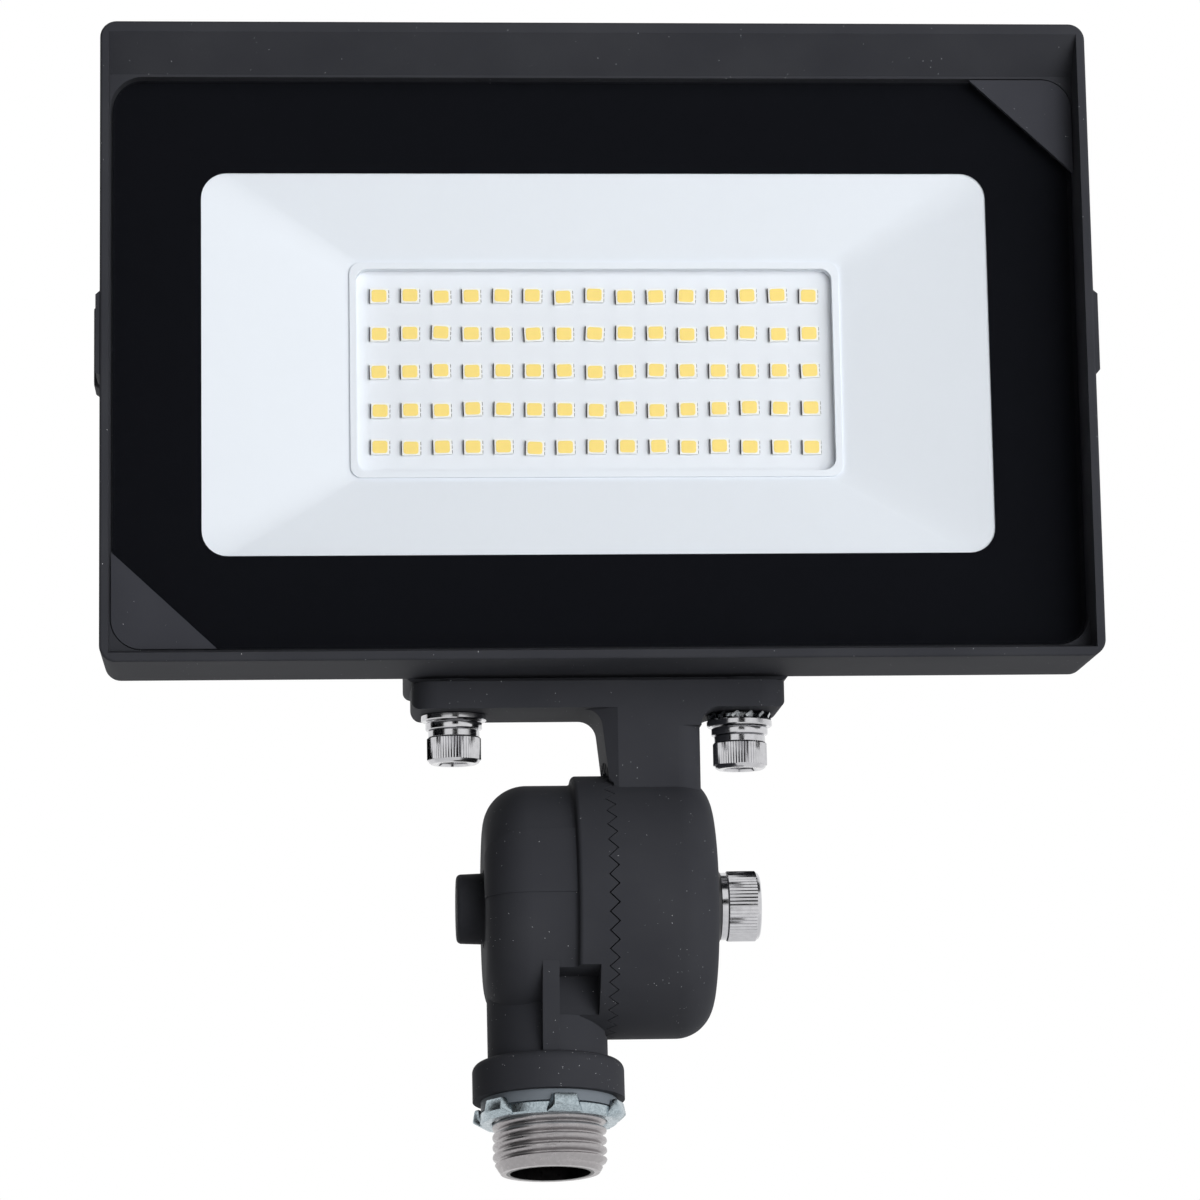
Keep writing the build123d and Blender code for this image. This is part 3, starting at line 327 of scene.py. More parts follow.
@dataclass(frozen=True)
class BoreShadedMetal(Metal):
    """Bare metal whose bore, round the object's own Z axis, is painted dark as shade."""

    bore_mm: float = 8.0
    # colour of the painted shade inside the bore
    inside: str = "#2a2829"

    def detail(self, tree: bpy.types.NodeTree, shader: bpy.types.Node) -> None:
        """Adds the metal's clouds, then darkens everything nearer the axis than the bore: painted shade in
        the bore.
        """
        super().detail(tree, shader)
        flat = node(tree, "VectorMath", {0: self.place(tree), 1: (1, 1, 0)}, operation="MULTIPLY")
        reach = node(tree, "VectorMath", {0: flat.outputs[0]}, operation="LENGTH")
        limit = {0: reach.outputs["Value"], 1: self.bore_mm * MM}
        in_bore_shade = node(tree, "Math", limit, operation="LESS_THAN")
        outer = shader.inputs["Base Color"].links[0].from_socket
        wall = {"Fac": in_bore_shade.outputs[0], "Color1": outer, "Color2": srgb(self.inside)}
        tint = node(tree, "MixRGB", wall)
        tree.links.new(tint.outputs[0], shader.inputs["Base Color"])


@dataclass(frozen=True)
class ClearGlass(Finish):
    """Toughened float glass, nearly colourless, which mirrors the dark card in front of it."""

    def material(self) -> bpy.types.Material:
        """Makes the glass, which lets lamp light straight through so that the tray behind it is lit."""
        made = bpy.data.materials.new(self.name)
        made.use_nodes = True
        tree = made.node_tree
        tree.nodes.clear()
        shader = node(
            tree,
            "BsdfPrincipled",
            {
                "Base Color": srgb(self.colour),
                "Roughness": self.roughness,
                "IOR": self.ior,
                "Transmission Weight": 1.0,
            },
        )
        clear = node(tree, "BsdfTransparent", {"Color": srgb("#ffffff")})
        path = node(tree, "LightPath")
        lit = {0: path.outputs["Is Shadow Ray"], 1: path.outputs["Is Diffuse Ray"]}
        light = node(tree, "Math", lit, operation="MAXIMUM")
        mixed = node(
            tree,
            "MixShader",
            {"Fac": light.outputs[0], 1: shader.outputs[0], 2: clear.outputs[0]},
        )
        node(tree, "OutputMaterial", {"Surface": mixed.outputs[0]})
        return made


# Powder coats: satin black, dull enough to keep the castings' rounds soft, with white painted glints in
# the base colour
POWDER = PowderCoat("black_powder_coat", "#303136", roughness=0.7, specular=0.08)
HOUSING_POWDER = PowderCoat("housing_powder_coat", "#303136", roughness=0.7, specular=0.08, rare=0.96)
COVER_POWDER = PowderCoat(
    "fresh_black_powder_coat", "#35363b", roughness=0.65, specular=0.1, second="#3f4046", rare=0.96
)

# Metals: the screws mirror sharply, the zinc is cool and mottled, the nipple warm and clouded, with
# painted shade in its bore
STAINLESS = Metal(
    "polished_stainless_steel", "#d6d6d9", roughness=0.16, second="#8e8d90", share=0.4
)
ZINC = Metal(
    "bright_zinc_plate",
    "#d3e0e6",
    roughness=0.28,
    second="#5f6d75",
    cloud_mm=0.4,
    share=0.9,
    grit_mm=0.25,
    grit_depth=0.03,
)
# the nipple's bore gets painted shade in its base colour
NIPPLE = BoreShadedMetal(
    "machined_bare_metal",
    "#b4b1b2",
    roughness=0.32,
    second="#8b8687",
    cloud_mm=0.7,
    share=0.5,
    grit_mm=0.15,
    grit_depth=0.01,
)
BRIGHT_SCREW = Metal("zinc_plated_screw", "#bfc3c6", roughness=0.25)
BLACK_OXIDE = Finish("black_oxide_steel", "#1a1a1c", roughness=0.42, specular=0.4)

# Rubbers: even and dull, so that they sink back beside metal
GREY_SEAL = Finish("grey_sealing_rubber", "#6c737a", roughness=0.6)
BLACK_RUBBER = Finish("black_rubber", "#141415", roughness=0.7)

# The window: clear glass over a print that takes no gloss of its own; the print's black is lightened with
# painted sheen in place of gloss
GLASS = ClearGlass("toughened_glass", "#fdfefe", roughness=0.0, ior=1.5)
# black print, partly lightened as painted sheen
FRIT_WITH_SHEEN = Finish("black_print_with_painted_sheen", "#131418", roughness=0.5, specular=0.0)

# Behind the glass: cool white plastic and lacquer, warm white diodes with yellow lenses
WHITE_TRAY = Finish("white_moulded_tray", "#eaeff6", roughness=0.4, specular=0.3)
WHITE_BOARD = Finish("white_board_lacquer", "#e9edf3", roughness=0.45, specular=0.3)
PACKAGE = Finish("white_diode_moulding", "#f4f4f2", roughness=0.4)
PHOSPHOR = Finish("phosphor_under_silicone", "#ffe27a", roughness=0.4, coat=0.1)
SOLDER = Finish("dark_solder_edge", "#2b2426", roughness=0.6, specular=0.05)

# Inside the driver box: the usual colours of such pieces
BOARD_GREEN = Finish("green_board_lacquer", "#14532a", roughness=0.35)
TAPE = Finish("yellow_winding_tape", "#c8a52c", roughness=0.4)
SLEEVE = Finish("dark_capacitor_sleeve", "#1c2030", roughness=0.3)
ENAMEL = Finish("enamelled_winding", "#7a3a1c", roughness=0.3)
PAD = Finish("grey_thermal_pad", "#8d9097", roughness=0.8)
LEADS = Finish("red_wire_insulation", "#a01a16", roughness=0.35)


class Paint:
    """Keeps one Blender material for each finish."""

    def __init__(self) -> None:
        """Starts with none made."""
        self.made: dict[str, bpy.types.Material] = {}

    def get(self, finish: Finish) -> bpy.types.Material:
        """Gives the finish's material, and makes it the first time."""
        if finish.name not in self.made:
            self.made[finish.name] = finish.material()
        return self.made[finish.name]

    def dress(self, obj: bpy.types.Object, finish: Finish) -> None:
        """Puts the finish in every material slot of an object."""
        if not obj.material_slots:
            obj.data.materials.append(self.get(finish))
        for slot in obj.material_slots:
            slot.material = self.get(finish)


def unique(items: Iterable[Any]) -> list[Any]:
    """Each item once, in the order met."""
    return list(dict.fromkeys(items))


def rank(parts: Iterable[Any], key: Callable[[Any], Any]) -> Callable[[Any], int]:
    """A key that gives each part its place in the sorted list; a bmesh sorts by numbers alone."""
    return {part: place for place, part in enumerate(sorted(parts, key=key))}.get


def link(bm: bmesh.types.BMesh, name: str) -> bpy.types.Object:
    """Turns a bmesh into an object at the origin and frees it; sorted, so each run gives the same."""
    bm.verts.sort(key=rank(bm.verts, lambda vert: vert.co[:]))
    bm.verts.index_update()
    for parts in (bm.edges, bm.faces):
        parts.sort(key=rank(parts, lambda part: sorted(vert.index for vert in part.verts)))
    mesh = bpy.data.meshes.new(name)
    bm.to_mesh(mesh)
    bm.free()
    obj = bpy.data.objects.new(name, mesh)
    bpy.context.scene.collection.objects.link(obj)
    return obj


def put(
    bm: bmesh.types.BMesh, name: str, body: Body, finish: Finish, paint: Paint, smooth: float | None = 30
) -> bpy.types.Object:
    """Turns a finished bmesh into a piece that rides on a body.

    Args:
        bm: the mesh, in the row frame and in metres; it is freed.
        name: the piece's name.
        body: the CAD body that it rides on.
        finish: its finish.
        paint: where materials are kept.
        smooth: the sharpest edge, in degrees, that is shaded smooth; None keeps it faceted.

    Returns:
        The new object.
    """
    bmesh.ops.remove_doubles(bm, verts=bm.verts, dist=WELD)
    bmesh.ops.recalc_face_normals(bm, faces=bm.faces)
    if smooth is not None:
        for face in bm.faces:
            face.smooth = True
        for edge in bm.edges:
            if edge.is_manifold and edge.calc_face_angle(0) > math.radians(smooth):
                edge.smooth = False
    obj = link(bm, name)
    paint.dress(obj, finish)
    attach(obj, body.value)
    log.info("%s: %d faces on %s", name, len(obj.data.polygons), body.value)
    return obj


def stack(bm: bmesh.types.BMesh, rings: list[tuple[float, float, float]], segments: int) -> None:
    """Raises a closed tube of rings along +Z, each extruded from the one before.

    Args:
        bm: the mesh that gets the tube.
        rings: height, radius and ridge depth of each ring, in metres; the depth pulls every other
            corner in, which cuts a straight knurl. A radius of 0 closes that end.
        segments: corners of each ring.
    """
    height, radius, ridge = rings[0]
    loop = bmesh.ops.create_circle(bm, segments=segments, radius=1.0)["verts"]
    edges = unique(e for v in loop for e in v.link_edges)
    places = {v: v.co.copy() for v in loop}

    def shape(verts: list[bmesh.types.BMVert], z: float, r: float, dip: float) -> None:
        """Sets a ring's height and radius, with every other corner pulled in."""
        for i, v in enumerate(verts):
            unit = places[v]
            reach = max(r - dip * (i % 2), 1e-9)
            v.co = Vector((unit.x * reach, unit.y * reach, z))

    shape(loop, height, radius, ridge)
    for height, radius, ridge in rings[1:]:
        out = bmesh.ops.extrude_edge_only(bm, edges=edges)["geom"]
        fresh = [g for g in out if isinstance(g, bmesh.types.BMVert)]
        spokes = [(e.other_vert(v), v) for v in fresh for e in v.link_edges]
        partner = {old: new for old, new in spokes if old in places}
        loop = [partner[v] for v in loop]
        places.update({new: places[old] for old, new in partner.items()})
        edges = unique(e for v in loop for e in v.link_edges if all(w in loop for w in e.verts))
        shape(loop, height, radius, ridge)


def rounded_plate(
    bm: bmesh.types.BMesh, width: float, height: float, radius: float, segments: int = 8
) -> None:
    """Makes a flat rounded rectangle in the XY plane, centred.

    Args:
        bm: the mesh that gets it.
        width: its size along X.
        height: its size along Y.
        radius: of its corners.
        segments: of each corner.
    """
    plate = bmesh.ops.create_grid(bm, x_segments=1, y_segments=1, size=0.5)["verts"]
    bmesh.ops.scale(bm, vec=(width, height, 1), verts=plate)
    bmesh.ops.bevel(
        bm,
        geom=plate,
        offset=radius,
        segments=segments,
        profile=0.5,
        affect="VERTICES",
        material=-1,
        offset_type="OFFSET",
    )


@dataclass
class Screw:
    """A socket-head cap screw with a straight knurl and an under-head collar.

    The root and crest shares are of the ridges' depth, and the worn shares are of the edge.
    """

    head_radius: float
    head_height: float
    shank_radius: float
    shank_length: float
    socket_flats: float
    collar_radius: float
    collar_height: float
    ridges: int = 60
    ridge_depth: float = 0.22 * MM
    edge: float = 0.55 * MM
    land: float = 0.25 * MM
    run_out: float = 0.15 * MM
    chamfer: float = 0.3 * MM
    countersink: float = 0.35 * MM
    step: float = 0.02 * MM
    root_share: float = 1.2
    crest_share: float = 0.8
    worn: tuple[float, float] = (0.4, 0.35)
    mouth_share: float = 0.66
    socket_share: float = 0.5

    def build(self, bm: bmesh.types.BMesh, to: Matrix) -> None:
        """Adds the screw: its head stands on z = 0 towards +Z, its shank goes down.

        Args:
            bm: the mesh that gets it.
            to: where the screw goes.
        """
        own = bmesh.new()
        r, h, c = self.head_radius, self.head_height, self.collar_height
        knurl_top = h - self.edge - self.land
        worn_up, worn_in = (share * self.edge for share in self.worn)
        # From the shank's end up: shank, collar, knurl, worn edge and the socket's mouth
        stack(
            own,
            [
                (-self.shank_length, 0.0, 0.0),
                (-self.shank_length, self.shank_radius - self.chamfer, 0.0),
                (-self.shank_length + self.chamfer, self.shank_radius, 0.0),
                (0.0, self.shank_radius, 0.0),
                (0.0, self.collar_radius - self.run_out, 0.0),
                (self.run_out, self.collar_radius, 0.0),
                (c, self.collar_radius, 0.0),
                (c + self.step, r - self.ridge_depth * self.root_share, 0.0),
                (c + self.chamfer, r, self.ridge_depth),
                (knurl_top, r, self.ridge_depth),
                (knurl_top + self.run_out, r - self.ridge_depth * self.crest_share, 0.0),
                (h - worn_up, r - self.ridge_depth - worn_in, 0.0),
                (h, r - self.ridge_depth - self.edge, 0.0),
                (h, self.socket_flats * self.mouth_share, 0.0),
            ],
            self.ridges * 2,
        )
        rim = [e for e in own.edges if e.is_boundary]
        corner = self.socket_flats / 2 / math.cos(math.pi / 6)
        ring = bmesh.ops.create_circle(own, segments=6, radius=corner)["verts"]
        sides = unique(e for v in ring for e in v.link_edges)
        bmesh.ops.subdivide_edges(own, edges=sides, cuts=self.ridges // 3 - 1)
        six = [e for e in own.edges if e.is_wire]
        mouth = unique(v for e in six for v in e.verts)
        bmesh.ops.translate(own, vec=(0, 0, h - self.countersink), verts=mouth)
        bmesh.ops.bridge_loops(own, edges=rim + six)
        inner = [e for e in own.edges if e.is_boundary]
        sunk = bmesh.ops.extrude_edge_only(own, edges=inner)["geom"]
        floor = [g for g in sunk if isinstance(g, bmesh.types.BMVert)]
        bmesh.ops.translate(own, vec=(0, 0, -h * self.socket_share), verts=floor)
        bmesh.ops.contextual_create(own, geom=[e for e in own.edges if e.is_boundary])
        bmesh.ops.transform(own, matrix=to, verts=own.verts)
        join(bm, own)


def join(bm: bmesh.types.BMesh, other: bmesh.types.BMesh) -> None:
    """Moves all of one bmesh into another and frees the first."""
    bmesh.ops.remove_doubles(other, verts=other.verts, dist=WELD)
    bmesh.ops.recalc_face_normals(other, faces=other.faces)
    mesh = bpy.data.meshes.new("joined")
    other.to_mesh(mesh)
    other.free()
    bm.from_mesh(mesh)
    bpy.data.meshes.remove(mesh)


@dataclass
class Knuckle:
    """The clamped hinge's hardware: its knurled screw, washer, o-ring and round cap."""

    drum_right: float = 30.8 * MM
    drum_left: float = -11.3 * MM
    washer: float = 1.55 * MM
    cap_radius: float = 6.4 * MM
    cap_round: float = 0.9 * MM
    cap_proud: float = 5.0 * MM
    cap_root: float = 1.0 * MM
    cap_flare: float = 0.2 * MM
    screw: Screw = field(
        default_factory=lambda: Screw(
            head_radius=6.5 * MM,
            head_height=7.4 * MM,
            shank_radius=4.0 * MM,
            shank_length=47.8 * MM,
            socket_flats=6.0 * MM,
            collar_radius=6.25 * MM,
            collar_height=1.2 * MM,
        )
    )

    def build(self, frame: dict[str, Any], paint: Paint) -> None:
        """Makes the screw and cap on the hinge axis and dresses washer and ring."""
        bm = bmesh.new()
        turn = Matrix.Translation(HINGE + Vector((self.drum_right + self.washer, 0, 0)))
        self.screw.build(bm, turn @ Matrix.Rotation(math.pi / 2, 4, "Y"))
        piece = put(bm, "knuckle_screw_knurled", Body.BOLT, STAINLESS, paint, 28)
        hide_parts("knuckle_bolt")
        paint.dress(frame["nodes"]["bolt_washer"], BLACK_OXIDE)
        paint.dress(frame["nodes"]["knuckle_o_ring"], BLACK_RUBBER)
        self.cap(paint)

    def cap(self, paint: Paint) -> None:
        """Makes the smooth round cap over the screw's end, in place of its plain nut."""
        bm = bmesh.new()
        r, e, end, foot = self.cap_radius, self.cap_round, self.cap_proud, -self.cap_root
        turns = [math.radians(15 * i) for i in range(7)]
        bend = [(end - e + e * math.sin(t), r - e + e * math.cos(t), 0.0) for t in turns]
        wide = r + self.cap_flare
        stack(bm, [(foot, 0.0, 0.0), (foot, wide, 0.0), *bend, (end, 0.0, 0.0)], 64)
        to = Matrix.Translation(HINGE + Vector((self.drum_left, 0, 0)))
        bmesh.ops.transform(bm, matrix=to @ Matrix.Rotation(-math.pi / 2, 4, "Y"), verts=bm.verts)
        piece = put(bm, "knuckle_cap", Body.BASE, POWDER, paint)
        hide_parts("knuckle_nut")


@dataclass
class FlangeStack:
    """One screw under the arm's flange, with its washers."""

    x: float
    depth: float = -2.375 * MM
    top: float = 35.7 * MM
    toothed: bool = False
    flat: float = 1.2 * MM
    spring: float = 1.7 * MM
    teeth: float = 1.4 * MM
    engagement: float = 13.5 * MM
    hole: float = 3.2 * MM
    flat_radius: float = 6.05 * MM
    flat_edge: float = 0.2 * MM
    bar: tuple[float, float, float] = (1.9 * MM, 1.45 * MM, 0.3 * MM)
    wound_at: float = 4.3 * MM
    climb: float = 0.24 * MM
    wound: float = math.radians(352)
    wound_steps: int = 64
    split_at: float = math.radians(130)
    rim: tuple[float, float] = (4.6 * MM, 0.6 * MM)
    tooth_count: int = 14
    tooth: tuple[float, float, float] = (1.6 * MM, 1.5 * MM, 0.5 * MM)
    tooth_at: float = 5.1 * MM
    tooth_twist: float = math.radians(38)

    def level(self) -> float:
        """Height of the flat washer's top."""
        return self.top - (self.teeth if self.toothed else 0.0)

    def at(self, up: float) -> Matrix:
        """A place on the screw's axis at a height in the head."""
        return HEAD @ Matrix.Translation((self.x, self.depth, up))

    def screw(self, bm: bmesh.types.BMesh) -> None:
        """Adds the knurled screw, its head down."""
        seat = self.level() - self.flat - self.spring
        Screw(
            head_radius=5.0 * MM,
            head_height=6.2 * MM,
            shank_radius=3.0 * MM,
            shank_length=self.flat + self.spring + self.engagement,
            socket_flats=5.0 * MM,
            collar_radius=4.75 * MM,
            collar_height=1.2 * MM,
        ).build(bm, self.at(seat) @ Matrix.Rotation(math.pi, 4, "X"))

    def flat_washer(self, bm: bmesh.types.BMesh) -> None:
        """Adds the flat washer with its rolled edges."""
        own = bmesh.new()
        r, b, t, e = self.flat_radius, self.hole, self.flat, self.flat_edge
        lower = [(0, b, 0), (-t, b, 0), (-t, r - e, 0), (-t + e, r, 0)]
        stack(own, [*lower, (-e, r, 0), (0, r - e, 0), (0, b, 0)], 72)
        bmesh.ops.transform(own, matrix=self.at(self.level()), verts=own.verts)
        join(bm, own)

    def spring_washer(self, bm: bmesh.types.BMesh) -> None:
        """Adds the split spring washer: a square bar wound once, its ends a little apart."""
        own = bmesh.new()
        rounded_plate(own, *self.bar, segments=3)
        bmesh.ops.rotate(own, cent=(0, 0, 0), matrix=Matrix.Rotation(math.pi / 2, 3, "X"), verts=own.verts)
        bmesh.ops.translate(own, vec=(self.wound_at, 0, -self.climb / 2), verts=own.verts)
        bmesh.ops.spin(
            own,
            geom=own.faces[:],
            cent=(0, 0, 0),
            axis=(0, 0, 1),
            dvec=(0, 0, self.climb / self.wound_steps),
            angle=self.wound,
            steps=self.wound_steps,
            use_merge=False,
        )
        bmesh.ops.translate(own, vec=(0, 0, -self.spring / 2), verts=own.verts)
        spot = self.at(self.level() - self.flat) @ Matrix.Rotation(self.split_at, 4, "Z")
        bmesh.ops.transform(own, matrix=spot, verts=own.verts)
        join(bm, own)

    def tooth_washer(self, bm: bmesh.types.BMesh) -> None:
        """Adds the earthing washer: a thin ring with twisted teeth round it."""
        own = bmesh.new()
        b, (r, t), mid = self.hole, self.rim, -self.teeth / 2
        up, down = mid + t / 2, mid - t / 2
        stack(own, [(up, b, 0), (down, b, 0), (down, r, 0), (up, r, 0), (up, b, 0)], 60)
        twist = Matrix.Rotation(self.tooth_twist, 3, "X")
        for i in range(self.tooth_count):
            tooth = bmesh.ops.create_cube(own, size=1.0)["verts"]
            bmesh.ops.scale(own, vec=self.tooth, verts=tooth)
            bmesh.ops.rotate(own, cent=(0, 0, 0), matrix=twist, verts=tooth)
            bmesh.ops.translate(own, vec=(self.tooth_at, 0, mid), verts=tooth)
            turn = Matrix.Rotation(math.tau * i / self.tooth_count, 3, "Z")
            bmesh.ops.rotate(own, cent=(0, 0, 0), matrix=turn, verts=tooth)
        bmesh.ops.transform(own, matrix=self.at(self.top), verts=own.verts)
        join(bm, own)


@dataclass
class FlangeHardware:
    """Both stacks under the flange."""

    stacks: list[FlangeStack] = field(
        default_factory=lambda: [FlangeStack(-16.45 * MM), FlangeStack(36.65 * MM, toothed=True)]
    )

    def build(self, paint: Paint) -> None:
        """Makes the screws and washers in place of their plain solids."""
        for name, finish, make, stacks in (
            ("flange_screws", STAINLESS, FlangeStack.screw, self.stacks),
            ("flange_flat_washers", STAINLESS, FlangeStack.flat_washer, self.stacks),
            ("flange_spring_washers", STAINLESS, FlangeStack.spring_washer, self.stacks),
            ("flange_tooth_washer", BRIGHT_SCREW, FlangeStack.tooth_washer, self.stacks[1:]),
        ):
            bm = bmesh.new()
            for one in stacks:
                make(one, bm)
            piece = put(bm, name + "_dressed", Body.HEAD, finish, paint, 28)
            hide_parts(name)


@dataclass
class Nipple:
    """The threaded nipple, with its thread cut as one helix."""

    radius: float = 10.4 * MM
    bore: float = 7.35 * MM
    top: float = 6.0 * MM
    end: float = -13.3 * MM
    pitch: float = 1.814 * MM
    depth: float = 0.95 * MM
    steps: int = 96
    seam: float = 0.002 * MM
    chamfer_rise: float = 2.2 * MM
    chamfer_slope: float = 0.64
    thread: tuple[tuple[float, float], ...] = (
        (0.0, 0.10),
        (0.12, 0.0),
        (0.26, 0.0),
        (0.38, 0.10),
        (0.62, 0.88),
        (0.70, 1.0),
        (0.80, 1.0),
        (0.88, 0.88),
    )

    def build(self, paint: Paint) -> None:
        """Winds the thread, turns the end chamfer and lines the bore.

        One pitch of the thread's outline is given in shares of its pitch and depth.
        """
        bm = bmesh.new()
        turns = math.ceil((self.top - self.end) / self.pitch) + 2
        start = self.top + self.pitch / 2
        previous = None
        for turn in range(turns):
            for along, dip in self.thread:
                reach = self.radius - dip * self.depth
                vert = bm.verts.new((reach, 0, start - (turn + along) * self.pitch))
                if previous:
                    bm.edges.new((previous, vert))
                previous = vert
        front = Matrix.Rotation(math.radians(-90), 3, "Z")
        bmesh.ops.rotate(bm, cent=(0, 0, 0), matrix=front, verts=bm.verts)
        bmesh.ops.spin(
            bm,
            geom=bm.verts[:] + bm.edges[:],
            cent=(0, 0, 0),
            axis=(0, 0, 1),
            dvec=(0, 0, self.pitch / self.steps),
            angle=math.tau,
            steps=self.steps,
            use_merge=False,
        )
        bmesh.ops.remove_doubles(bm, verts=bm.verts, dist=self.seam)
        for z, up in ((self.end, -1), (self.top, 1)):
            bmesh.ops.bisect_plane(
                bm,
                geom=bm.verts[:] + bm.edges[:] + bm.faces[:],
                dist=WELD,
                plane_co=(0, 0, z),
                plane_no=(0, 0, up),
                clear_outer=True,
            )
        for v in bm.verts:
            flat = Vector((v.co.x, v.co.y))
            below = max(0.0, (self.end + self.chamfer_rise - v.co.z))
            limit = self.radius - below * self.chamfer_slope
            if flat.length > limit:
                flat *= limit / flat.length
                v.co.x, v.co.y = flat
        self.wall(bm)
        piece = put(bm, "threaded_nipple_cut", Body.BASE, NIPPLE, paint, 40)
        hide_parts("threaded_nipple")

    def wall(self, bm: bmesh.types.BMesh) -> None:
        """Closes both ends down to the bore and lines it."""
        mouths = []
        for z in (self.end, self.top):
            open_edges = [e for e in bm.edges if e.is_boundary]
            rim = [e for e in open_edges if all(abs(v.co.z - z) < 1e-6 for v in e.verts)]
            ring = bmesh.ops.create_circle(bm, segments=self.steps, radius=self.bore)["verts"]
            bmesh.ops.translate(bm, vec=(0, 0, z), verts=ring)
            mouth = unique(e for v in ring for e in v.link_edges)
            bmesh.ops.triangle_fill(bm, use_beauty=True, edges=rim + mouth)
            mouths += mouth
        bmesh.ops.bridge_loops(bm, edges=mouths)


@dataclass
class Locknut:
    """The conduit locknut: a pressed ring with six lugs bent up round it."""

    bore: float = 10.45 * MM
    radius: float = 12.6 * MM
    top: float = -2.1 * MM
    foot: float = -4.3 * MM
    edge: float = 0.3 * MM
    foot_round: tuple[float, float] = (0.4 * MM, 0.35 * MM)
    shoulder: tuple[float, float] = (0.1 * MM, 0.4 * MM)
    lugs: int = 6
    turn: float = math.radians(40)
    heights: tuple[float, float, float] = (-4.28, -3.35, -1.0)
    inner: tuple[tuple[float, float], ...] = ((11.8, 3.5), (12.1, 3.3), (12.45, 2.3))
    outer: tuple[tuple[float, float], ...] = ((12.35, 3.3), (14.05, 2.2), (13.6, 2.1))

    def build(self, frame: dict[str, Any], paint: Paint) -> None:
        """Makes the ring and its lugs."""
        bm = bmesh.new()
        b, r, t, f, e = self.bore, self.radius, self.top, self.foot, self.edge
        (inward, lift), (lean, narrow) = self.foot_round, self.shoulder
        lower = [(t, b, 0), (f + e, b, 0), (f, b + inward, 0), (f, r - e, 0), (f + lift, r, 0)]
        stack(bm, [*lower, (t - e, r - lean, 0), (t, r - narrow, 0), (t, b, 0)], 96)
        for i in range(self.lugs):
            lug = self.lug(bm)
            faces = [face for v in lug for face in v.link_faces if all(w in lug for w in face.verts)]
            edges = unique(one for face in faces for one in face.edges)
            bevelled = bmesh.ops.bevel(
                bm, geom=edges, offset=e, segments=2, profile=0.5, affect="EDGES", material=-1
            )
            island = set(bevelled["verts"])
            for v in list(island):
                for face in v.link_faces:
                    island.update(face.verts)
            bmesh.ops.rotate(
                bm,
                cent=(0, 0, 0),
                matrix=Matrix.Rotation(self.turn + math.tau * i / self.lugs, 3, "Z"),
                verts=list(island),
            )
        piece = put(bm, "locknut_pressed", Body.NUT, ZINC, paint, 28)
        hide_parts("locknut")
        paint.dress(frame["nodes"]["seal_washer"], GREY_SEAL)

    def lug(self, bm: bmesh.types.BMesh) -> list[bmesh.types.BMVert]:
        """Adds one lug on +X: its underside slopes out to a bent-up face with slanting cheeks.

        Args:
            bm: the mesh that gets it.

        Returns:
            Its verts.
        """
        lug = bmesh.ops.create_cube(bm, size=1.0)["verts"]
        faces = unique(f for v in lug for f in v.link_faces)
        edges = unique(e for f in faces for e in f.edges)
        cut = bmesh.ops.bisect_plane(
            bm,
            geom=[*lug, *edges, *faces],
            dist=WELD,
            plane_co=(0, 0, 0),
            plane_no=(0, 0, 1),
        )["geom_cut"]
        inside = unique([*lug, *(g for g in cut if isinstance(g, bmesh.types.BMVert))])
        for v in inside:
            level = 0 if v.co.z < -0.1 else (2 if v.co.z > 0.1 else 1)
            reach, wide = (self.outer if v.co.x > 0 else self.inner)[level]
            v.co = Vector((reach * MM, math.copysign(wide * MM, v.co.y), self.heights[level] * MM))
        return inside


@dataclass
class SidePads:
    """The raised pads on the housing's sides, carried forward to the front of its lip."""

    centre_x: float = 10.1 * MM
    half_width: float = 90.55 * MM
    centre_up: float = 101.8 * MM
    depth: tuple[float, float] = (-31.2 * MM, -16.0 * MM)
    height: float = 16.4 * MM
    proud: float = 0.77 * MM
    slope: float = 1.1 * MM
    root: float = 0.5 * MM

    def build(self, paint: Paint) -> None:
        """Adds a pad with sloping ends on each side."""
        bm = bmesh.new()
        for s in (-1, 1):
            own = bmesh.new()
            for v in bmesh.ops.create_cube(own, size=2.0)["verts"]:
                outer = v.co.x > 0
                reach = self.half_width + (self.proud if outer else -self.root)
                up = self.height / 2 - (self.slope if outer else 0.0)
                y = self.depth[0] if v.co.y < 0 else self.depth[1]
                v.co = Vector((self.centre_x + s * reach, y, self.centre_up + v.co.z * up))
            bmesh.ops.transform(own, matrix=HEAD, verts=own.verts)
            join(bm, own)
        piece = put(bm, "side_pad_fronts", Body.HEAD, HOUSING_POWDER, paint)


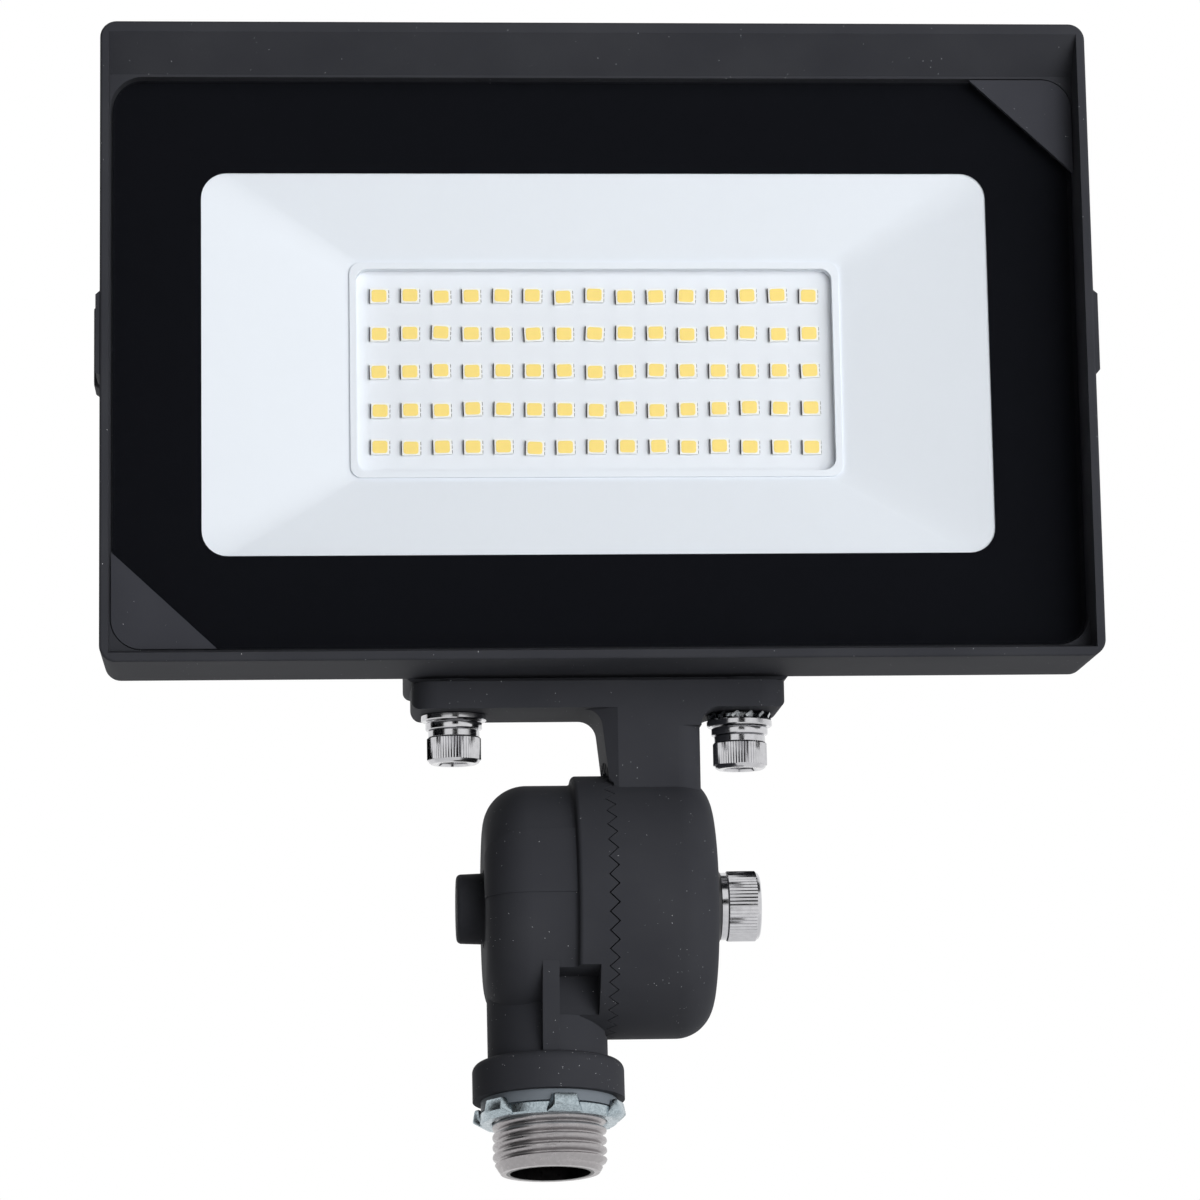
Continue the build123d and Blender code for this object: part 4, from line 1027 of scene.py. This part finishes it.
@dataclass
class FrontGlass:
    """The glass and the black border printed on its back."""

    centre_x: float = 10.1 * MM
    centre_up: float = 98.0 * MM
    window_up: float = 98.1 * MM
    width: float = 177.0 * MM
    height: float = 105.6 * MM
    corner: float = 5.5 * MM
    window: tuple[float, float, float] = (145.0 * MM, 71.4 * MM, 4.7 * MM)
    back: float = -21.19 * MM
    film: float = 0.04 * MM
    clip: tuple[float, float] = (17.5 * MM, 16.2 * MM)
    clip_margin: float = 0.45 * MM

    def build(self, frame: dict[str, Any], paint: Paint) -> None:
        """Makes the printed border just behind the glass, with the corner cut-outs."""
        bm = bmesh.new()
        rounded_plate(bm, self.width, self.height, self.corner)
        bmesh.ops.delete(bm, geom=bm.faces[:], context="FACES_ONLY")
        hole = bmesh.new()
        rounded_plate(hole, *self.window)
        bmesh.ops.delete(hole, geom=hole.faces[:], context="FACES_ONLY")
        bmesh.ops.translate(hole, vec=(0, self.window_up - self.centre_up, 0), verts=hole.verts)
        join(bm, hole)
        bmesh.ops.bridge_loops(bm, edges=bm.edges[:])
        w, h = self.clip
        for s in (-1, 1):
            across, up = self.width / 2 + self.clip_margin, self.height / 2 + self.clip_margin
            corner = Vector((s * across, s * up, 0))
            bmesh.ops.bisect_plane(
                bm,
                geom=bm.verts[:] + bm.edges[:] + bm.faces[:],
                dist=WELD,
                plane_co=corner - Vector((s * w, 0, 0)),
                plane_no=Vector((s * h, s * w, 0)).normalized(),
                clear_outer=True,
            )
        bmesh.ops.solidify(bm, geom=bm.faces[:], thickness=self.film)
        place = Matrix.Translation((self.centre_x, self.back, self.centre_up))
        upright = Matrix.Rotation(math.pi / 2, 4, "X")
        bmesh.ops.transform(bm, matrix=HEAD @ place @ upright, verts=bm.verts)
        piece = put(bm, "printed_border", Body.HEAD, FRIT_WITH_SHEEN, paint, None)
        paint.dress(frame["nodes"]["front_glass"], GLASS)


@dataclass
class DiodeField:
    """The 75 diodes on their board: white package, yellow lens and the ends of the terminals."""

    columns: int = 15
    rows: int = 5
    pitch: tuple[float, float] = (5.70 * MM, 7.13 * MM)
    centre: tuple[float, float] = (10.1 * MM, 98.1 * MM)
    board: float = -13.4 * MM
    package: tuple[float, float, float] = (3.4 * MM, 2.8 * MM, 0.7 * MM)
    terminals: float = 3.5 * MM
    lens: tuple[float, float, float] = (2.75 * MM, 2.3 * MM, 0.1 * MM)
    lens_shift: float = -0.05 * MM
    lens_sunk: float = 0.02 * MM
    lens_round: float = 0.5 * MM
    side_bar: tuple[float, float, float] = (0.2 * MM, 2.576 * MM, 0.63 * MM)
    side_pin: tuple[float, float, float] = (0.12 * MM, 0.56 * MM, 0.42 * MM)
    pin_pitch: float = 0.896 * MM
    drift: tuple[float, float] = (0.05 * MM, 0.13 * MM)
    drift_turn: float = math.radians(1.3)
    seed: int = 7

    def spots(self) -> list[Matrix]:
        """Where each diode sits; a placing machine is a tenth of a millimetre and a degree or two off."""
        chance = random.Random(self.seed)
        stand = Matrix.Rotation(math.pi / 2, 4, "X")
        found = []
        for row in range(self.rows):
            for column in range(self.columns):
                x = self.centre[0] + (column - (self.columns - 1) / 2) * self.pitch[0]
                up = self.centre[1] + (row - (self.rows - 1) / 2) * self.pitch[1]
                x += chance.gauss(0, self.drift[0])
                up += chance.gauss(0, self.drift[1])
                lie = Matrix.Rotation(chance.gauss(0, self.drift_turn), 4, "Z")
                found.append(HEAD @ Matrix.Translation((x, self.board, up)) @ stand @ lie)
        return found

    def block(
        self,
        bm: bmesh.types.BMesh,
        to: Matrix,
        size: tuple[float, float, float],
        at: tuple[float, float, float] = (0.0, 0.0, 0.0),
        round_by: float = 0.0,
    ) -> None:
        """Adds a box, or a flat pad with rounded corners.

        Args:
            bm: the mesh that gets it.
            to: the diode's place, with +Z out of the board.
            size: across, up and proud.
            at: its offset across and up, and how far above the board it starts.
            round_by: radius of its upright edges.
        """
        own = bmesh.new()
        verts = bmesh.ops.create_cube(own, size=1.0)["verts"]
        bmesh.ops.scale(own, vec=size, verts=verts)
        if round_by:
            upright = [e for e in own.edges if abs(e.verts[0].co.z - e.verts[1].co.z) > size[2] / 2]
            bmesh.ops.bevel(
                own, geom=upright, offset=round_by, segments=4, profile=0.5, affect="EDGES", material=-1
            )
        bmesh.ops.translate(own, vec=(at[0], at[1], at[2] + size[2] / 2), verts=own.verts)
        bmesh.ops.transform(own, matrix=to, verts=own.verts)
        join(bm, own)

    def build(self, paint: Paint) -> None:
        """Makes the packages, lenses and terminals."""
        bodies, lenses, ends = bmesh.new(), bmesh.new(), bmesh.new()
        edge = self.terminals / 2
        lens_at = (self.lens_shift, 0.0, self.package[2] - self.lens_sunk)
        for spot in self.spots():
            self.block(bodies, spot, self.package)
            self.block(lenses, spot, self.lens, lens_at, self.lens_round)
            self.block(ends, spot, self.side_bar, (-edge, 0.0, 0.0))
            for k in (-1, 0, 1):
                self.block(ends, spot, self.side_pin, (edge, k * self.pin_pitch, 0.0))
        for name, bm, finish, replaced in (
            ("diode_packages", bodies, PACKAGE, "led_bodies"),
            ("diode_lenses", lenses, PHOSPHOR, "led_phosphors"),
            ("diode_terminals", ends, SOLDER, None),
        ):
            piece = put(bm, name, Body.HEAD, finish, paint, None)
            if replaced:
                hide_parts(replaced)


@dataclass
class Castings:
    """The castings and inner pieces, which keep their CAD shape and only get a finish."""

    finishes: dict[str, Finish] = field(
        default_factory=lambda: {
            "lower_arm": POWDER,
            "upper_arm": POWDER,
            "housing": HOUSING_POWDER,
            "corner_covers": COVER_POWDER,
            "driver_cover": HOUSING_POWDER,
            "glass_gasket": BLACK_RUBBER,
            "arm_gasket": BLACK_RUBBER,
            "driver_cover_gasket": BLACK_RUBBER,
            "wire_grommet": BLACK_RUBBER,
            "reflector": WHITE_TRAY,
            "led_board": WHITE_BOARD,
            "thermal_pad": PAD,
            "reflector_screws": BRIGHT_SCREW,
            "board_screws": BRIGHT_SCREW,
            "driver_screws": BRIGHT_SCREW,
            "earth_screw": BRIGHT_SCREW,
            "driver_cover_screws": BRIGHT_SCREW,
            "driver_board": BOARD_GREEN,
            "driver_transformer": TAPE,
            "driver_capacitors": SLEEVE,
            "driver_choke": ENAMEL,
            "driver_heat_bar": BRIGHT_SCREW,
            "driver_transistor": BLACK_RUBBER,
            "board_leads": LEADS,
        }
    )

    def build(self, frame: dict[str, Any], paint: Paint) -> None:
        """Dresses each CAD node."""
        for name, finish in self.finishes.items():
            paint.dress(frame["nodes"][name], finish)
            log.info("%s: %s", name, finish.name)


@dataclass
class PhotoCamera:
    """The camera that took the photograph, fitted to the head's outline."""

    focal_px: float = 4333.0
    frame_px: float = 1200.0
    sensor_mm: float = 36.0
    near: float = 0.01
    place: tuple[float, float, float] = (-44.0, -797.6, -74.1)
    right: tuple[float, float, float] = (0.9977, -0.0664, -0.0167)
    down: tuple[float, float, float] = (-0.0057, 0.1634, -0.9867)
    forward: tuple[float, float, float] = (0.0682, 0.9845, 0.1626)

    def build(self) -> None:
        """Stands the camera where the head's own axes put it."""
        data = bpy.data.cameras.new("photo_camera")
        data.sensor_width = self.sensor_mm
        data.lens = self.focal_px / self.frame_px * self.sensor_mm
        data.clip_start = self.near
        camera = bpy.data.objects.new("photo_camera", data)
        bpy.context.scene.collection.objects.link(camera)
        turn = Matrix((self.right, [-c for c in self.down], [-c for c in self.forward])).transposed()
        local = Matrix.Translation(Vector(self.place) * MM) @ turn.to_4x4()
        camera.matrix_world = HEAD @ local
        bpy.context.scene.camera = camera


@dataclass
class Studio:
    """A white studio: pale floor, bright surround, soft boxes, and dark cards that only gloss sees.

    A box has its name, place in metres, side in metres and power in watts; a card its name, place,
    width, height and colour.
    """

    floor_z: float = -0.25
    floor_radius: float = 0.7
    ambient: float = 0.1
    aim: Vector = field(default_factory=lambda: Vector((0.01, 0, 0.08)))
    boxes: tuple[tuple[str, tuple[float, float, float], float, float], ...] = (
        ("front_box", (0.6, -2.1, 0.2), 1.1, 19.5),
        ("right_box", (1.9, -1.2, 0.2), 1.0, 11.5),
        ("low_box", (0.7, -1.2, -0.4), 0.9, 13.0),
        ("back_box", (-0.5, 2.0, 0.25), 1.4, 30.0),
    )
    cards: tuple[tuple[str, tuple[float, float, float], float, float, str], ...] = (
        ("front_card", (0.17, -2.4, 0.16), 1.0, 0.75, "#050506"),
        ("left_card", (-1.2, -0.3, 0.1), 1.6, 1.6, "#0a0a0c"),
        ("top_card", (0.0, -0.2, 1.5), 2.2, 2.0, "#0a0a0c"),
    )

    def facing(self, place: tuple[float, float, float]) -> Matrix:
        """A place that looks at the lamp head's middle."""
        turn = (self.aim - Vector(place)).to_track_quat("-Z", "Y")
        return Matrix.Translation(place) @ turn.to_matrix().to_4x4()

    def world(self) -> None:
        """White to the camera, to gloss and through glass; a softer grey for what lights the object."""
        world = bpy.data.worlds.new("studio")
        world.use_nodes = True
        tree = world.node_tree
        tree.nodes.clear()
        dim = node(tree, "Background", {"Color": srgb("#f4f5f8"), "Strength": self.ambient})
        white = node(tree, "Background", {"Color": (1, 1, 1, 1), "Strength": 1.0})
        mixed = node(tree, "MixShader", {"Fac": shown(tree), 1: dim.outputs[0], 2: white.outputs[0]})
        node(tree, "OutputWorld", {"Surface": mixed.outputs[0]})
        bpy.context.scene.world = world

    def box(self, name: str, place: tuple[float, float, float], size: float, watts: float) -> None:
        """Adds a square soft box that faces the head.

        Args:
            name: of the lamp.
            place: in metres.
            size: of its side.
            watts: its power.
        """
        data = bpy.data.lights.new(name, "AREA")
        data.size = size
        data.energy = watts
        lamp = bpy.data.objects.new(name, data)
        lamp.visible_glossy = False
        lamp.visible_transmission = False
        bpy.context.scene.collection.objects.link(lamp)
        lamp.matrix_world = self.facing(place)

    def card(
        self, name: str, place: tuple[float, float, float], width: float, height: float, colour: str
    ) -> None:
        """Adds a card that only gloss sees, to give metal and glass something dark to mirror.

        Args:
            name: of the card.
            place: in metres.
            width: across.
            height: upright.
            colour: of the card.
        """
        bm = bmesh.new()
        bmesh.ops.create_grid(bm, x_segments=1, y_segments=1, size=0.5)
        bmesh.ops.scale(bm, vec=(width, height, 1), verts=bm.verts)
        bmesh.ops.transform(bm, matrix=self.facing(place), verts=bm.verts)
        obj = link(bm, name)
        obj.data.materials.append(Finish(name, colour, roughness=1.0, specular=0.0).material())
        obj.visible_camera = False
        obj.visible_diffuse = False
        obj.visible_shadow = False
        obj.visible_transmission = False

    def build(self) -> None:
        """Makes floor, world, lamps and cards."""
        self.world()
        bm = bmesh.new()
        bmesh.ops.create_circle(bm, cap_ends=True, segments=96, radius=self.floor_radius)
        bmesh.ops.translate(bm, vec=(0, 0, self.floor_z), verts=bm.verts)
        floor = link(bm, "floor")
        paint = FloorPaint("pale_floor", "#f4f4f4", roughness=0.9, specular=0.0)
        floor.data.materials.append(paint.material())
        for box in self.boxes:
            self.box(*box)
        for card in self.cards:
            self.card(*card)


def main() -> None:
    """Builds the scene in order."""
    logging.basicConfig(level=logging.INFO, format="%(name)s %(message)s")
    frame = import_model()
    paint = Paint()
    PhotoCamera().build()
    Castings().build(frame, paint)
    Knuckle().build(frame, paint)
    FlangeHardware().build(paint)
    Nipple().build(paint)
    Locknut().build(frame, paint)
    SidePads().build(paint)
    FrontGlass().build(frame, paint)
    DiodeField().build(paint)
    Studio().build()
    bpy.context.scene.view_settings.view_transform = "Standard"


if __name__ == "__main__":
    main()
